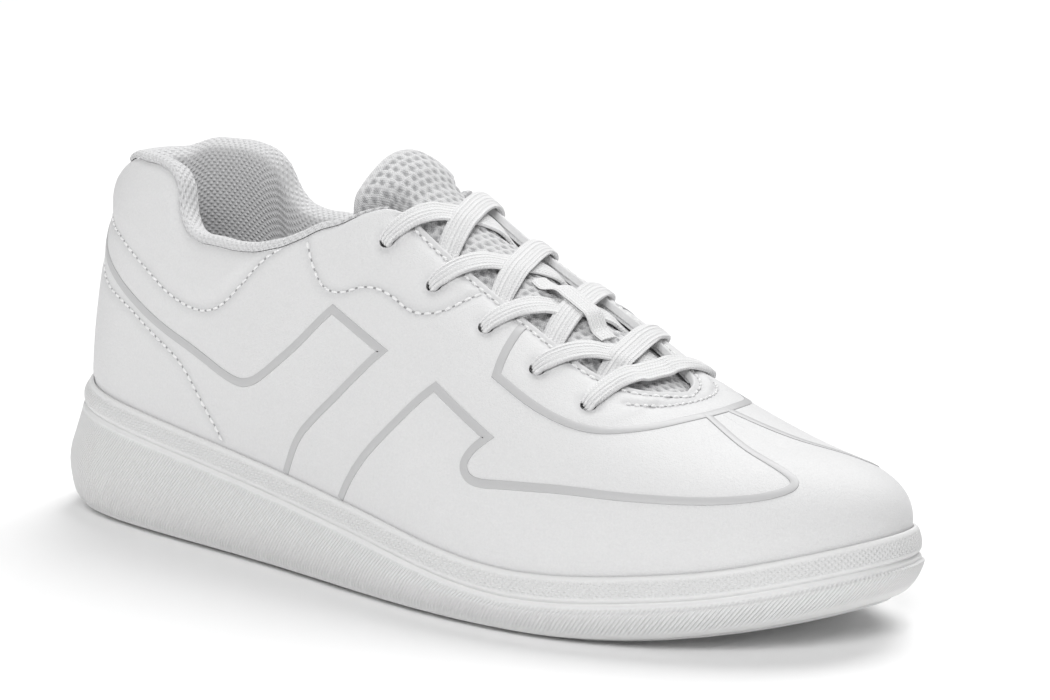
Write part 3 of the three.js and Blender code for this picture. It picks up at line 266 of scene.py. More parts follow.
# ------------------------------------------------------------------ the surface of the upper
def skin_frame(s, v):
    """Points and outward normals at place s along the outline and v degrees up the side.
    v from -1 to 0 is the part inside the cup of the sole."""
    s, v = np.broadcast_arrays(np.asarray(s, float), np.asarray(v, float))
    if s.ndim == 2 and np.allclose(s, s[:, :1]):
        s = s[:, :1]
    e = 0.002
    bx, by, nx, ny = base(s)
    cx, cy = spine(s)
    ahead, behind = base(s + e), base(s - e)
    crest1, crest0 = spine(s + e), spine(s - e)
    low = edge_z(bx)
    high = spine_z(cx)
    phi = np.radians(np.clip(v, 0, 90))
    n, m = round_across(cx), round_up(cx)
    rho = np.where(v >= 90, 0.0, np.maximum(np.cos(phi), 0) ** (2 / n))
    q = np.sin(phi) ** (2 / m)
    x = cx + (bx - cx) * rho
    y = cy + (by - cy) * rho
    z = low + (high - low) * q
    r = np.maximum(rho, 0.2)
    tx = ((crest1[0] - crest0[0]) * (1 - r) + (ahead[0] - behind[0]) * r) / (2 * e)
    ty = ((crest1[1] - crest0[1]) * (1 - r) + (ahead[1] - behind[1]) * r) / (2 * e)
    z1 = edge_z(ahead[0]) + (spine_z(crest1[0]) - edge_z(ahead[0])) * q
    z0 = edge_z(behind[0]) + (spine_z(crest0[0]) - edge_z(behind[0])) * q
    tz = (z1 - z0) / (2 * e)
    step = math.radians(0.5)
    pa = np.minimum(phi + step, math.radians(89.9))
    pb = np.maximum(phi - step, math.radians(0.01))
    dr = np.cos(pa) ** (2 / n) - np.cos(pb) ** (2 / n)
    dq = np.sin(pa) ** (2 / m) - np.sin(pb) ** (2 / m)
    ux, uy, uz = (bx - cx) * dr, (by - cy) * dr, (high - low) * dq
    side = np.stack([ty * uz - tz * uy, tz * ux - tx * uz, tx * uy - ty * ux], -1)
    flip = np.where(side[..., 0] * (bx - cx) + side[..., 1] * (by - cy) < 0, -1.0, 1.0)
    side = unit(side) * flip[..., None]
    slope = (spine_z(cx + 2) - spine_z(cx - 2)) / 4
    end = SPINE_TO * LENGTH
    damp = 1 - smooth(end - 0.12 * LENGTH, end, cx) * 0.35
    crest = unit(np.stack(np.broadcast_arrays(-slope * damp, 0 * slope, 1 + 0 * slope), -1))
    t = smooth(0.28, 0.0, rho)[..., None]
    normal = unit(side * (1 - t) + crest * t)
    inside = (v <= 0)[..., None]
    wall_z = low + np.minimum(v, 0) * (low - board_z(bx) - GAP)
    flat = np.stack(np.broadcast_arrays(bx, by, wall_z), -1)
    point = np.where(inside, flat, np.stack([x, y, z], -1))
    wall_n = np.stack(np.broadcast_arrays(nx, ny, 0 * v), -1)
    normal = np.where(inside, wall_n, normal)
    point[..., 0] -= LENGTH / 2
    return point, normal


def skin(s, v, d=0.0):
    p, n = skin_frame(s, v)
    return p + n * np.asarray(d, float)[..., None]


def split(u, theta):
    """The same place as s and v; theta runs over the top, 0 lateral, 90 crest, 180 medial."""
    u, theta = np.broadcast_arrays(np.asarray(u, float), np.asarray(theta, float))
    return np.where(theta <= 90, -u, u), np.where(theta <= 90, theta, 180 - theta)


def over_frame(u, theta):
    return skin_frame(*split(u, theta))


def over(u, theta, d=0.0):
    return skin(*split(u, theta), d)


def degrees_per_mm(s, v):
    a = skin_frame(s, v - 1)[0]
    b = skin_frame(s, v + 1)[0]
    return 2 / np.maximum(np.linalg.norm(a - b, axis=-1), 1e-6)


def slide(u, theta, move):
    """The place on the surface that lies move (a 3-D vector along it) from the given one."""
    e_u, e_t = 0.0005, 0.1
    u, theta = np.array(u, float), np.array(theta, float)
    start = over(u, theta)
    for _ in range(3):
        du = (over(u + e_u, theta) - over(u - e_u, theta)) / (2 * e_u)
        dt = (over(u, theta + e_t) - over(u, theta - e_t)) / (2 * e_t)
        left = start + move - over(u, theta)
        a, b, c = np.sum(du * du, -1), np.sum(du * dt, -1), np.sum(dt * dt, -1)
        p, q = np.sum(du * left, -1), np.sum(dt * left, -1)
        det = np.maximum(a * c - b * b, 1e-9)
        u = u + (c * p - b * q) / det
        theta = theta + (a * q - b * p) / det
    return u, theta


# ------------------------------------------------------------------ lines on the skin
def rounded(points, corners=(), times=3):
    """Corner cutting of a list of places, which leaves the named corners sharp."""
    points = [tuple(p) for p in points]
    keep = {tuple(c) for c in corners}
    for _ in range(times):
        out = [points[0]]
        for i in range(len(points) - 1):
            a, b = np.array(points[i], float), np.array(points[i + 1], float)
            if tuple(points[i]) in keep or i == 0:
                if i > 0:
                    out.append(tuple(points[i]))
            else:
                out.append(tuple(a * 0.75 + b * 0.25))
            if not (tuple(points[i + 1]) in keep or i == len(points) - 2):
                out.append(tuple(a * 0.25 + b * 0.75))
        out.append(points[-1])
        points = out
    return np.array(points, float)


def filled(places, step, least=1):
    """The places with even ones added between them, about step mm apart on the surface."""
    rows = []
    for a, b in zip(places[:-1], places[1:]):
        n = max(least, int(np.linalg.norm(over(*a) - over(*b)) / step))
        rows.append(a + (b - a) * (np.arange(n) / n)[:, None])
    return np.concatenate(rows + [places[-1:]])


def resample(places, step):
    """Places along the line at even distances of about step mm on the surface."""
    dense = filled(places, 0.3, least=2)
    p = over(dense[:, 0], dense[:, 1])
    run = run_along(p)
    at = np.linspace(0, run[-1], max(2, int(round(run[-1] / step))) + 1)
    return np.stack([np.interp(at, run, dense[:, k]) for k in (0, 1)], 1)


def mirrored(places):
    out = np.array(places, float)
    out[:, 1] = 180 - out[:, 1]
    return out


def throat_edge():
    """The cut edge round the throat, from the lateral collar to the medial one, in u and theta."""
    us = np.concatenate([np.linspace(0.462, 0.66, 40), np.linspace(0.662, THROAT_END_U, 24)])
    half = np.stack([us, topline(us)], 1)
    return np.concatenate([half, mirrored(half)[::-1][1:]])


def throat_row():
    """The row of stitches that follows the throat edge."""
    u, theta = throat_edge().T
    p, n = over_frame(u, theta)
    out = unit(np.cross(unit(np.gradient(p, axis=0)), n))
    out *= np.sign(np.sum(out * (p - over(0.58, 90.0)), -1))[:, None]
    return np.stack(slide(u, theta, out * EDGE_ROW), 1)[2:-2]


def crescent():
    half = np.array(STITCH_CRESCENT, float)
    return rounded(np.concatenate([half, mirrored(half)[::-1][1:]]))


def medial_seam():
    return np.array([[SEAM_U + 0.006 - 0.03 * t, 180 - lerp(1.5, 46, t)] for t in np.linspace(0, 1, 8)])


LATERAL_SEAMS = [rounded(line) for line in (STITCH_COLLAR, STITCH_HEEL, STITCH_EYESTAY)]
MEDIAL_SEAMS = [mirrored(line) for line in LATERAL_SEAMS]
SEAMS = LATERAL_SEAMS + MEDIAL_SEAMS + [throat_row(), crescent(), medial_seam()]


def kd_tree(points):
    tree = KDTree(len(points))
    for i, p in enumerate(points):
        tree.insert(Vector(p), i)
    tree.balance()
    return tree


SEAM_TREE = kd_tree(np.concatenate([over(*resample(line, 0.5).T) for line in SEAMS]))
EYELET_FRAMES = [[a.reshape(3) for a in skin_frame(u * sign, v)] for u, v in EYELETS for sign in (-1, 1)]


def seam_distance(points):
    flat = points.reshape(-1, 3)
    return np.array([SEAM_TREE.find(Vector(p))[2] for p in flat]).reshape(points.shape[:-1])


COLLAR_PUFF, HEEL_PUFF = 1.1, 0.5      # how far the padding lifts the skin
ROLL_DEEP, ROLL_WIDE = 1.3, 3.2        # the skin rolls in towards the collar's edge
CUT_DEEP, CUT_WIDE = 0.55, 0.9         # the cut edge is rounded over
EYESTAY_LIFT = 0.35                    # the reinforcement under the eyelets
DIMPLE_DEEP, DIMPLE_WIDE = 0.5, 1.3    # the pull of the lace round an eyelet
SWAY = 0.16                            # slow unevenness of the hide


def relief(s, v, points):
    """How far the skin stands out of its plain surface, in mm, and how deep in a crease it lies, 0..1."""
    u = np.abs(s)
    per_mm = degrees_per_mm(s, np.clip(v, 1, 89))
    seam = np.exp(-((seam_distance(points) / SEAM_WIDE) ** 2))
    from_edge = (np.where(u < THROAT_END_U, topline(u), 120) - v) / per_mm
    above = (v - table(STITCH_COLLAR)(u)) / per_mm
    puff = COLLAR_PUFF * smooth(0, 8, above) * smooth(0, 7, from_edge) * smooth(0.4, 0.36, u)
    heel = HEEL_PUFF * smooth(0.3, 0.2, u) * smooth(0, 9, from_edge)
    roll = -ROLL_DEEP * (1 - np.clip(from_edge / ROLL_WIDE, 0, 1)) ** 2 * smooth(0.47, 0.43, u)
    cut = -CUT_DEEP * (1 - np.clip(from_edge / CUT_WIDE, 0, 1)) ** 2
    eyestay = EYESTAY_LIFT * smooth(0, 7, from_edge) * smooth(24, 16, from_edge) * smooth(0.44, 0.48, u)
    d = puff + heel + roll + cut + eyestay - SEAM_DEEP * seam
    dimple = np.zeros(points.shape[:-1])
    for centre, _ in EYELET_FRAMES:
        r = np.linalg.norm(points - centre, axis=-1)
        dimple = np.maximum(dimple, np.exp(-((np.maximum(r - EYELET / 2, 0) / DIMPLE_WIDE) ** 2)))
    x, y, z = points[..., 0], points[..., 1], points[..., 2]
    sway = np.sin(x / 17 + y / 11) * np.sin(z / 13 - x / 29) * SWAY
    visible = smooth(0, 3, v)
    # the second value, how deep a point lies in a seam valley or eyelet dimple, is painted shade in the
    # skin's colour and also makes it rougher
    return (d - DIMPLE_DEEP * dimple + sway) * visible, np.clip(seam * 0.8 + dimple * 0.7, 0, 1)


def on_skin(places):
    """Points and normals of places (u, theta) on the skin with its relief."""
    s, v = split(places[:, 0], places[:, 1])
    p, n = skin_frame(s, v)
    return p + n * relief(s, v, p)[0][..., None], n


# ------------------------------------------------------------------ meshes
def make_object(name, points, faces, material, body="shoe", uv=None, marks=None, sharp=40, round_trip=0):
    """A closed mesh from points in mm and a list of face arrays, facing out.

    uv holds one place per point; a map that runs once round the piece gives its whole length as round_trip.
    """
    points = np.asarray(points, float).reshape(-1, 3)
    polygons = [f for block in faces for f in np.asarray(block).tolist()]
    volume = 0.0
    for block in faces:
        block = np.asarray(block)
        for k in range(1, block.shape[1] - 1):
            a, b, c = points[block[:, 0]], points[block[:, k]], points[block[:, k + 1]]
            volume += float(np.sum(np.cross(a, b) * c))
    if volume < 0:
        polygons = [f[::-1] for f in polygons]
    mesh = bpy.data.meshes.new(name)
    mesh.from_pydata((points * MM).tolist(), [], polygons)
    mesh.polygons.foreach_set("use_smooth", [True] * len(mesh.polygons))
    if uv is not None:
        loops = np.zeros(len(mesh.loops), int)
        mesh.loops.foreach_get("vertex_index", loops)
        layer = mesh.uv_layers.new(name="Weave")
        corners = np.array(uv, np.float32)[loops]
        if round_trip:
            totals = np.zeros(len(mesh.polygons), int)
            mesh.polygons.foreach_get("loop_total", totals)
            owner = np.repeat(np.arange(len(totals)), totals)
            high = np.maximum.reduceat(corners[:, 0], np.concatenate([[0], np.cumsum(totals)[:-1]]))[owner]
            corners[(high - corners[:, 0]) > round_trip / 2, 0] += round_trip
        layer.uv.foreach_set("vector", corners.ravel())
    for key, values in (marks or {}).items():
        attribute = mesh.attributes.new(key, "FLOAT", "POINT")
        attribute.data.foreach_set("value", np.asarray(values, np.float32).ravel())
    mesh.validate()
    mesh.set_sharp_from_angle(angle=math.radians(sharp))
    mesh.materials.append(material)
    obj = bpy.data.objects.new(name, mesh)
    bpy.context.scene.collection.objects.link(obj)
    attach(obj, body)
    return obj


def quads_of(rows, cols, wrap_rows=False, wrap_cols=False):
    i = np.arange(rows if wrap_rows else rows - 1)
    j = np.arange(cols if wrap_cols else cols - 1)
    i, j = np.meshgrid(i, j, indexing="ij")
    k, m = (i + 1) % rows, (j + 1) % cols
    return np.stack([i * cols + j, k * cols + j, k * cols + m, i * cols + m], -1).reshape(-1, 4)


def shell(outer, inner, keep=None):
    """Points and faces of the closed shell between two grids; cells where keep is false are holes."""
    rows, cols = outer.shape[:2]
    quads = quads_of(rows, cols)
    if keep is not None:
        quads = quads[keep.reshape(-1)]
    count = rows * cols
    edges = np.concatenate([quads[:, [k, (k + 1) % 4]] for k in range(4)])
    key = edges.min(1) * count + edges.max(1)
    _, first, times = np.unique(key, return_index=True, return_counts=True)
    border = edges[first[times == 1]]
    rim = np.stack([border[:, 1], border[:, 0], border[:, 0] + count, border[:, 1] + count], 1)
    points = np.concatenate([outer.reshape(-1, 3), inner.reshape(-1, 3)])
    faces = np.concatenate([quads, quads[:, ::-1] + count, rim])
    used = np.unique(faces)
    renumber = np.zeros(len(points), int)
    renumber[used] = np.arange(len(used))
    return points[used], renumber[faces], used


def sheet(name, face, back, material, body="shoe", uv=None, keep=None, sharp=40, **marks):
    """A closed piece between two grids; uv and marks are the face's, and marks are 0 on the back."""
    points, faces, used = shell(face, back, keep)
    if uv is not None:
        uv = np.concatenate([uv.reshape(-1, 2)] * 2)[used]
    for key, value in marks.items():
        marks[key] = np.concatenate([value.reshape(-1), 0 * value.reshape(-1)])[used]
    return make_object(name, points, [faces], material, body, uv=uv, marks=marks, sharp=sharp)


def stands_for(obj, *nodes):
    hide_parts(*nodes)


def tube(rings):
    """Points and faces of a closed tube through rings of points, with its ends capped."""
    rows, cols = rings.shape[:2]
    first = np.arange(cols)[None, :]
    last = first[:, ::-1] + (rows - 1) * cols
    return rings.reshape(-1, 3), [quads_of(rows, cols, wrap_cols=True), first, last]


def merged(parts):
    """Several (points, faces) joined into one set of points and faces."""
    points, faces, count = [], [], 0
    for p, blocks in parts:
        points.append(p)
        faces += [b + count for b in blocks]
        count += len(p)
    return np.concatenate(points), faces


# ------------------------------------------------------------------ materials
class Finish:
    """A principled material built up from procedural nodes."""

    def __init__(self, name, color, roughness, sheen=0.0, specular=0.5, subsurface=0.0):
        self.material = bpy.data.materials.new(name)
        self.material.use_nodes = True
        self.tree = self.material.node_tree
        self.shader = self.tree.nodes["Principled BSDF"]
        self.shader.inputs["Specular IOR Level"].default_value = specular
        self.shader.inputs["Sheen Weight"].default_value = sheen
        self.shader.inputs["Sheen Roughness"].default_value = 0.5
        self.shader.inputs["Subsurface Weight"].default_value = subsurface
        self.shader.inputs["Subsurface Radius"].default_value = (1.0, 0.9, 0.8)
        self.shader.inputs["Subsurface Scale"].default_value = 0.0015
        self.color = self.rgb(color)
        self.roughness = self.value(roughness)
        self.height = None

    def add(self, kind, **settings):
        node = self.tree.nodes.new(kind)
        for key, value in settings.items():
            setattr(node, key, value)
        return node

    def link(self, a, b):
        self.tree.links.new(a, b)

    def rgb(self, color):
        node = self.add("ShaderNodeRGB")
        node.outputs[0].default_value = (*color, 1.0)
        return node.outputs[0]

    def value(self, number):
        node = self.add("ShaderNodeValue")
        node.outputs[0].default_value = number
        return node.outputs[0]

    def math(self, operation, a, b, clamp=False):
        node = self.add("ShaderNodeMath", operation=operation, use_clamp=clamp)
        for slot, item in zip(node.inputs, (a, b)):
            if isinstance(item, (int, float)):
                slot.default_value = item
            else:
                self.link(item, slot)
        return node.outputs[0]

    def times(self, a, b):
        return self.math("MULTIPLY", a, b)

    def minus(self, a, b):
        return self.math("SUBTRACT", a, b)

    def mark(self, name):
        return self.add("ShaderNodeAttribute", attribute_name=name).outputs["Fac"]

    def texture(self, kind, output, **values):
        """A texture in the piece's own coordinates."""
        node = self.add(kind)
        for key, value in values.items():
            node.inputs[key].default_value = value
        self.link(self.add("ShaderNodeTexCoord").outputs["Object"], node.inputs["Vector"])
        return node.outputs[output]

    def noise(self, scale, detail=3.0):
        return self.texture("ShaderNodeTexNoise", "Fac", Scale=scale, Detail=detail)

    def cells(self, scale):
        return self.texture("ShaderNodeTexVoronoi", "Distance", Scale=scale)

    def ribs(self, pitch, angle):
        """Parallel waves 0..1 with the given pitch and angle on the weave map, both in its mm."""
        turn = self.add("ShaderNodeMapping")
        turn.inputs["Rotation"].default_value = (0, 0, math.radians(angle))
        self.link(self.add("ShaderNodeUVMap", uv_map="Weave").outputs[0], turn.inputs["Vector"])
        parts = self.add("ShaderNodeSeparateXYZ")
        self.link(turn.outputs[0], parts.inputs[0])
        wave = self.math("SINE", self.times(parts.outputs[0], 2 * math.pi / pitch), 0.0)
        return self.math("ADD", self.times(wave, 0.5), 0.5)

    def weave(self, pitch, angle):
        """Two sets of ribs that cross: 1 where both are high."""
        return self.times(self.ribs(pitch, angle), self.ribs(pitch, -angle))

    def darken(self, amount, tint, strength=1.0):
        """Mixes the colour towards tint by a 0..1 amount."""
        node = self.add("ShaderNodeMix", data_type="RGBA", clamp_factor=True)
        self.link(self.times(amount, strength), node.inputs["Factor"])
        self.link(self.color, node.inputs["A"])
        node.inputs["B"].default_value = (*tint, 1.0)
        self.color = node.outputs["Result"]

    def rougher(self, amount, by):
        self.roughness = self.math("ADD", self.roughness, self.times(amount, by), clamp=True)

    def raise_by(self, amount, mm):
        """Adds amount times mm to the bump height."""
        scaled = self.times(amount, mm)
        self.height = scaled if self.height is None else self.math("ADD", self.height, scaled)

    def done(self, strength=1.0):
        self.link(self.color, self.shader.inputs["Base Color"])
        self.link(self.roughness, self.shader.inputs["Roughness"])
        if self.height is not None:
            bump = self.add("ShaderNodeBump")
            bump.inputs["Strength"].default_value = strength
            bump.inputs["Distance"].default_value = MM
            self.link(self.height, bump.inputs["Height"])
            self.link(bump.outputs["Normal"], self.shader.inputs["Normal"])
        return self.material


# grey the materials mix towards: painted shade in creases, pits, valleys and folds, and also their own grain
# and random tone
SHADE = (0.45, 0.45, 0.46)
RIB_PITCH, RIB_ANGLE = 1.0, -38.0   # fine ribs of the sole wall
CHECK_PITCH, CHECK_ANGLE = 1.2, 50  # crossed lines of its lip band


def microfibre(name="white_microfibre", tone=0.80):
    f = Finish(name, (tone, tone, tone * 1.002), 0.58, sheen=0.08, specular=0.3)
    pores = f.cells(2600)
    grain = f.noise(1500, 4.0)
    cloud = f.noise(35, 2.0)
    f.raise_by(pores, 0.09)
    f.raise_by(grain, 0.13)
    f.raise_by(f.noise(260, 2.0), 0.05)
    f.darken(f.times(cloud, 0.10), SHADE)
    f.darken(f.times(grain, 0.26), SHADE)
    # painted shade in the seam valleys and round the eyelets
    f.darken(f.mark("crease"), SHADE, 0.35)
    f.rougher(f.minus(grain, 0.5), 0.25)
    f.rougher(f.mark("crease"), 0.15)
    return f.done(0.8)


def rubber(name="white_rubber", ribbed=True, tone=0.80):
    f = Finish(name, (tone, tone, tone * 0.998), 0.55, specular=0.4)
    if ribbed:
        zone = f.mark("ribbed")
        valleys = f.minus(zone, f.times(f.ribs(RIB_PITCH, RIB_ANGLE), zone))
        band = f.mark("checked")
        knots = f.weave(CHECK_PITCH, CHECK_ANGLE)
        hollows = f.minus(band, f.times(knots, band))
        f.raise_by(valleys, -0.26)
        f.raise_by(hollows, -0.3)
        # painted shade in the valleys of the wall's ribs and in the hollows of the checked band
        f.darken(valleys, SHADE, 0.18)
        f.darken(hollows, SHADE, 0.2)
    speck = f.noise(900, 3.0)
    f.raise_by(speck, 0.02)
    f.darken(f.times(f.noise(60, 2.0), 0.08), SHADE)
    f.rougher(f.minus(speck, 0.5), 0.2)
    return f.done(0.9)


def waffle_mesh():
    """Padded knit with small diamond cells."""
    f = Finish("waffle_mesh", (0.78, 0.78, 0.785), 0.9, sheen=0.25, specular=0.2)
    cell = f.weave(1.5, 45)
    f.raise_by(cell, 0.4)
    f.raise_by(f.noise(2600, 2.0), 0.06)
    # painted shade in the pits between the raised diamond cells
    pit = f.math("SUBTRACT", 1.0, f.math("POWER", cell, 0.5), clamp=True)
    f.darken(pit, SHADE, 0.32)
    return f.done(1.0)


def spacer_mesh():
    """Open mesh of the tongue: thread ridges with pits marked by the mesh itself; painted shade darkens the
    pits and the gaps between the threads.
    """
    f = Finish("spacer_mesh", (0.80, 0.80, 0.805), 0.82, sheen=0.25, specular=0.25)
    thread = f.weave(0.62, 35)
    f.raise_by(thread, 0.18)
    f.raise_by(f.noise(3000, 2.0), 0.06)
    # painted shade in the mesh's pits and between its threads
    f.darken(f.mark("pit"), (0.36, 0.36, 0.37), 0.85)
    f.darken(f.minus(1.0, thread), SHADE, 0.12)
    return f.done(1.0)


def webbing(name="woven_lace", tone=0.93):
    """Flat woven cord: fine basket weave with ribs along it."""
    f = Finish(name, (tone, tone, tone), 0.78, sheen=0.3, specular=0.25)
    weave = f.weave(0.85, 40)
    cords = f.ribs(1.15, 90)
    f.raise_by(weave, 0.16)
    f.raise_by(cords, 0.2)
    f.raise_by(f.noise(3500, 2.0), 0.04)
    # painted shade between the woven threads and between the ribs
    f.darken(f.minus(1.0, f.math("POWER", weave, 0.6)), SHADE, 0.18)
    f.darken(f.minus(1.0, cords), SHADE, 0.16)
    # painted shade in the lace's folds
    f.darken(f.mark("crease"), SHADE, 0.5)
    return f.done(0.9)


def thread():
    f = Finish("sewing_thread", (0.9, 0.9, 0.9), 0.6, sheen=0.2, specular=0.4)
    f.raise_by(f.ribs(0.5, 30), 0.08)
    f.darken(f.noise(500, 2.0), SHADE, 0.15)
    # painted shadow: the lenses between the stitches are darkened to stand for the shade in the needle holes
    f.darken(f.mark("hole"), (0.27, 0.27, 0.275), 0.9)
    return f.done(0.8)


def film():
    """Satin grey film, with painted shade only where its edge meets the skin."""
    f = Finish("grey_film", (0.53, 0.53, 0.535), 0.42, specular=0.45)
    fine = f.noise(1400, 3.0)
    f.raise_by(fine, 0.03)
    # painted shade along the base of the film's edge, where it meets the skin
    f.darken(f.mark("edge"), (0.22, 0.22, 0.225), 0.75)
    f.darken(f.times(fine, 0.2), (0.6, 0.6, 0.6))
    f.rougher(f.minus(fine, 0.5), 0.2)
    return f.done(0.7)


def knit(name, color, pitch=1.1):
    f = Finish(name, color, 0.92, sheen=0.3, specular=0.2)
    loops = f.cells(1000 / pitch)
    f.raise_by(loops, 0.3)
    f.raise_by(f.noise(2400, 2.0), 0.08)
    f.darken(loops, SHADE, 0.35)
    return f.done(0.9)


def foam():
    f = Finish("soft_foam", (0.78, 0.78, 0.76), 0.95, specular=0.2)
    open_cells = f.cells(1500)
    f.raise_by(open_cells, 0.25)
    # painted shade in the pits of the open cells
    f.darken(f.minus(1.0, open_cells), (0.55, 0.54, 0.5), 0.3)
    return f.done(0.8)


def fibre_board():
    f = Finish("fibre_board", (0.60, 0.58, 0.53), 0.9, specular=0.2)
    fibres = f.noise(900, 6.0)
    f.raise_by(fibres, 0.12)
    f.darken(fibres, (0.42, 0.39, 0.34), 0.45)
    return f.done(0.8)


def moulded(name, color, roughness):
    f = Finish(name, color, roughness, specular=0.4)
    fine = f.noise(800, 3.0)
    f.raise_by(fine, 0.05)
    f.darken(f.times(fine, 0.4), SHADE, 0.4)
    f.rougher(f.minus(fine, 0.5), 0.15)
    return f.done(0.7)


SKIN_FINISH = microfibre()
RUBBER = rubber()
PLAIN_RUBBER = rubber("tread_rubber", ribbed=False, tone=0.74)
WAFFLE = waffle_mesh()
SPACER = spacer_mesh()
LACE = webbing()
TAPE = webbing("woven_tape", 0.92)
THREAD = thread()
FILM = film()
LINING_KNIT = knit("brushed_lining", (0.76, 0.76, 0.765))
BED_KNIT = knit("footbed_knit", (0.74, 0.74, 0.74), 1.4)
SOFT_FOAM = foam()
FIBRE = fibre_board()
STIFF = moulded("stiffener_sheet", (0.70, 0.69, 0.66), 0.6)
STAY = knit("stay_felt", (0.78, 0.78, 0.785), 0.8)
CORE = moulded("core_foam", (0.78, 0.78, 0.76), 0.85)


# ------------------------------------------------------------------ panels of the skin
PUNCH_RADIUS = EYELET * 0.46
TOP_ROWS = [0.0, 0.12, 0.3, 0.55, 0.9, 1.4, 2.1, 3.0]   # mm below the upper edge, for a round edge


def skin_top(s):
    """How far up the skin goes, in degrees: to the cut edge, or over the crest of the toe."""
    return np.where(np.abs(s) >= THROAT_END_U, 90.0, topline(np.abs(s)))


def panel_places(s_values, fine):
    """A grid of s and v: inside the cup, then up to the upper edge in steps of about fine mm."""
    s = np.asarray(s_values, float)[:, None]
    top = skin_top(s)
    per_mm = degrees_per_mm(s, np.clip(top, 1, 89))
    last = top - TOP_ROWS[-1] * per_mm
    longest = float(np.max((last - 1) / degrees_per_mm(s, np.full_like(top, 30.0))))
    count = max(12, int(longest / fine))
    k = (np.arange(count + 1) / count)[None, :]
    body = 0.02 + (last - 0.02) * k
    edge = top - np.array(TOP_ROWS[-2::-1])[None, :] * per_mm
    inside = np.array([-1.0, -0.5, -0.12])[None, :] + 0 * top
    v = np.concatenate([inside, body, edge], 1)
    return np.broadcast_to(s, v.shape).copy(), np.minimum(v, 90.0)


def punch(points, radius):
    """Draws the edge of each eyelet's hole to a circle; also says which cells of the grid stay."""
    rows, cols = points.shape[:2]
    cells = (points[:-1, :-1] + points[1:, :-1] + points[1:, 1:] + points[:-1, 1:]) / 4
    keep = np.ones((rows - 1, cols - 1), bool)

    def in_plane(places, centre, normal):
        """The way from the hole's axis to each place, its length, and whether the place is near."""
        way = places - centre
        near = np.linalg.norm(way, axis=-1) < radius * 3
        way = square_to(way, normal)
        return way, np.linalg.norm(way, axis=-1), near

    for centre, normal in EYELET_FRAMES:
        way, r, near = in_plane(points, centre, normal)
        _, cell_r, cell_near = in_plane(cells, centre, normal)
        hole = (cell_r < radius) & cell_near
        keep &= ~hole
        rim = np.zeros((rows, cols), bool)
        for i in (0, 1):
            for j in (0, 1):
                rim[i:rows - 1 + i, j:cols - 1 + j] |= hole
        rim &= near
        points[rim] += (way * ((radius - r) / np.maximum(r, 1e-6))[..., None])[rim]
    return points, keep


def skin_panel(node, s_values, fine):
    """One piece of the outer skin, with its relief, cut edges and eyelet holes."""
    s, v = panel_places(s_values, fine)
    p, n = skin_frame(s, v)
    flat, keep = punch(p.copy(), PUNCH_RADIUS)
    lift, crease = relief(s, v, flat)
    outer = flat + n * lift[..., None]
    from_edge = (skin_top(s) - v) / degrees_per_mm(s, np.clip(v, 1, 89))
    doubled = smooth(4.0, 2.0, from_edge) * smooth(0.47, 0.485, np.abs(s)) * smooth(0.72, 0.69, np.abs(s))
    inner = flat - n * (SKIN + (LAYER_GAP + EYESTAY_SINK - 0.06) * doubled)[..., None]
    stands_for(sheet(f"{node}_skin", outer, inner, SKIN_FINISH, keep=keep, sharp=50, crease=crease), node)


def spaced(a, b, step):
    """Values of s from a to b, a step of about step mm apart along the sole."""
    dense = np.linspace(a, b, 400)
    run = run_along(np.stack(base(dense)[:2], 1))
    count = max(2, int(run[-1] / step))
    return np.interp(np.linspace(0, run[-1], count + 1), run, dense)


def build_skin():
    step = 0.95
    skin_panel("back_strip", spaced(-BACK_STRIP_U, BACK_STRIP_U, step), step)
    skin_panel("quarter_lateral", spaced(-BACK_STRIP_U, -SEAM_U, step), step)
    skin_panel("quarter_medial", spaced(BACK_STRIP_U, SEAM_U, step), step)
    half = np.concatenate([spaced(SEAM_U, THROAT_END_U, step), spaced(THROAT_END_U, 1.0, step)[1:]])
    skin_panel("vamp", np.concatenate([half, -half[::-1][1:]]), step)


# ------------------------------------------------------------------ stitches
HEXAGON = np.arange(6)[:, None] * math.pi / 3


def painted_needle_shadow(a, b, n, side):
    """Painted shadow of the needle hole between two stitches: a flat dark lens on the skin."""
    ring = np.cos(HEXAGON) * side + (0.3 + np.sin(HEXAGON) * 0.35) * n
    sizes = [(k, 0.34 * math.sin(math.pi * (0.12 + 0.76 * k))) for k in (0.0, 0.25, 0.75, 1.0)]
    return tube(np.array([lerp(a, b, k) + size * ring for k, size in sizes]))


def stitch(a, b, na, nb, side):
    """One stitch: a short arch of thread between two holes."""
    rings = []
    for k in np.linspace(0, 1, 7):
        arch = math.sin(math.pi * k)
        n = lerp(na, nb, k)
        centre = lerp(a, b, k) + n * (arch**0.6 * 0.36 - 0.1)
        size = STITCH_THICK * (0.55 + 0.45 * arch)
        rings.append(centre + size * (np.cos(HEXAGON) * side * 1.25 + np.sin(HEXAGON) * n))
    return tube(np.array(rings))


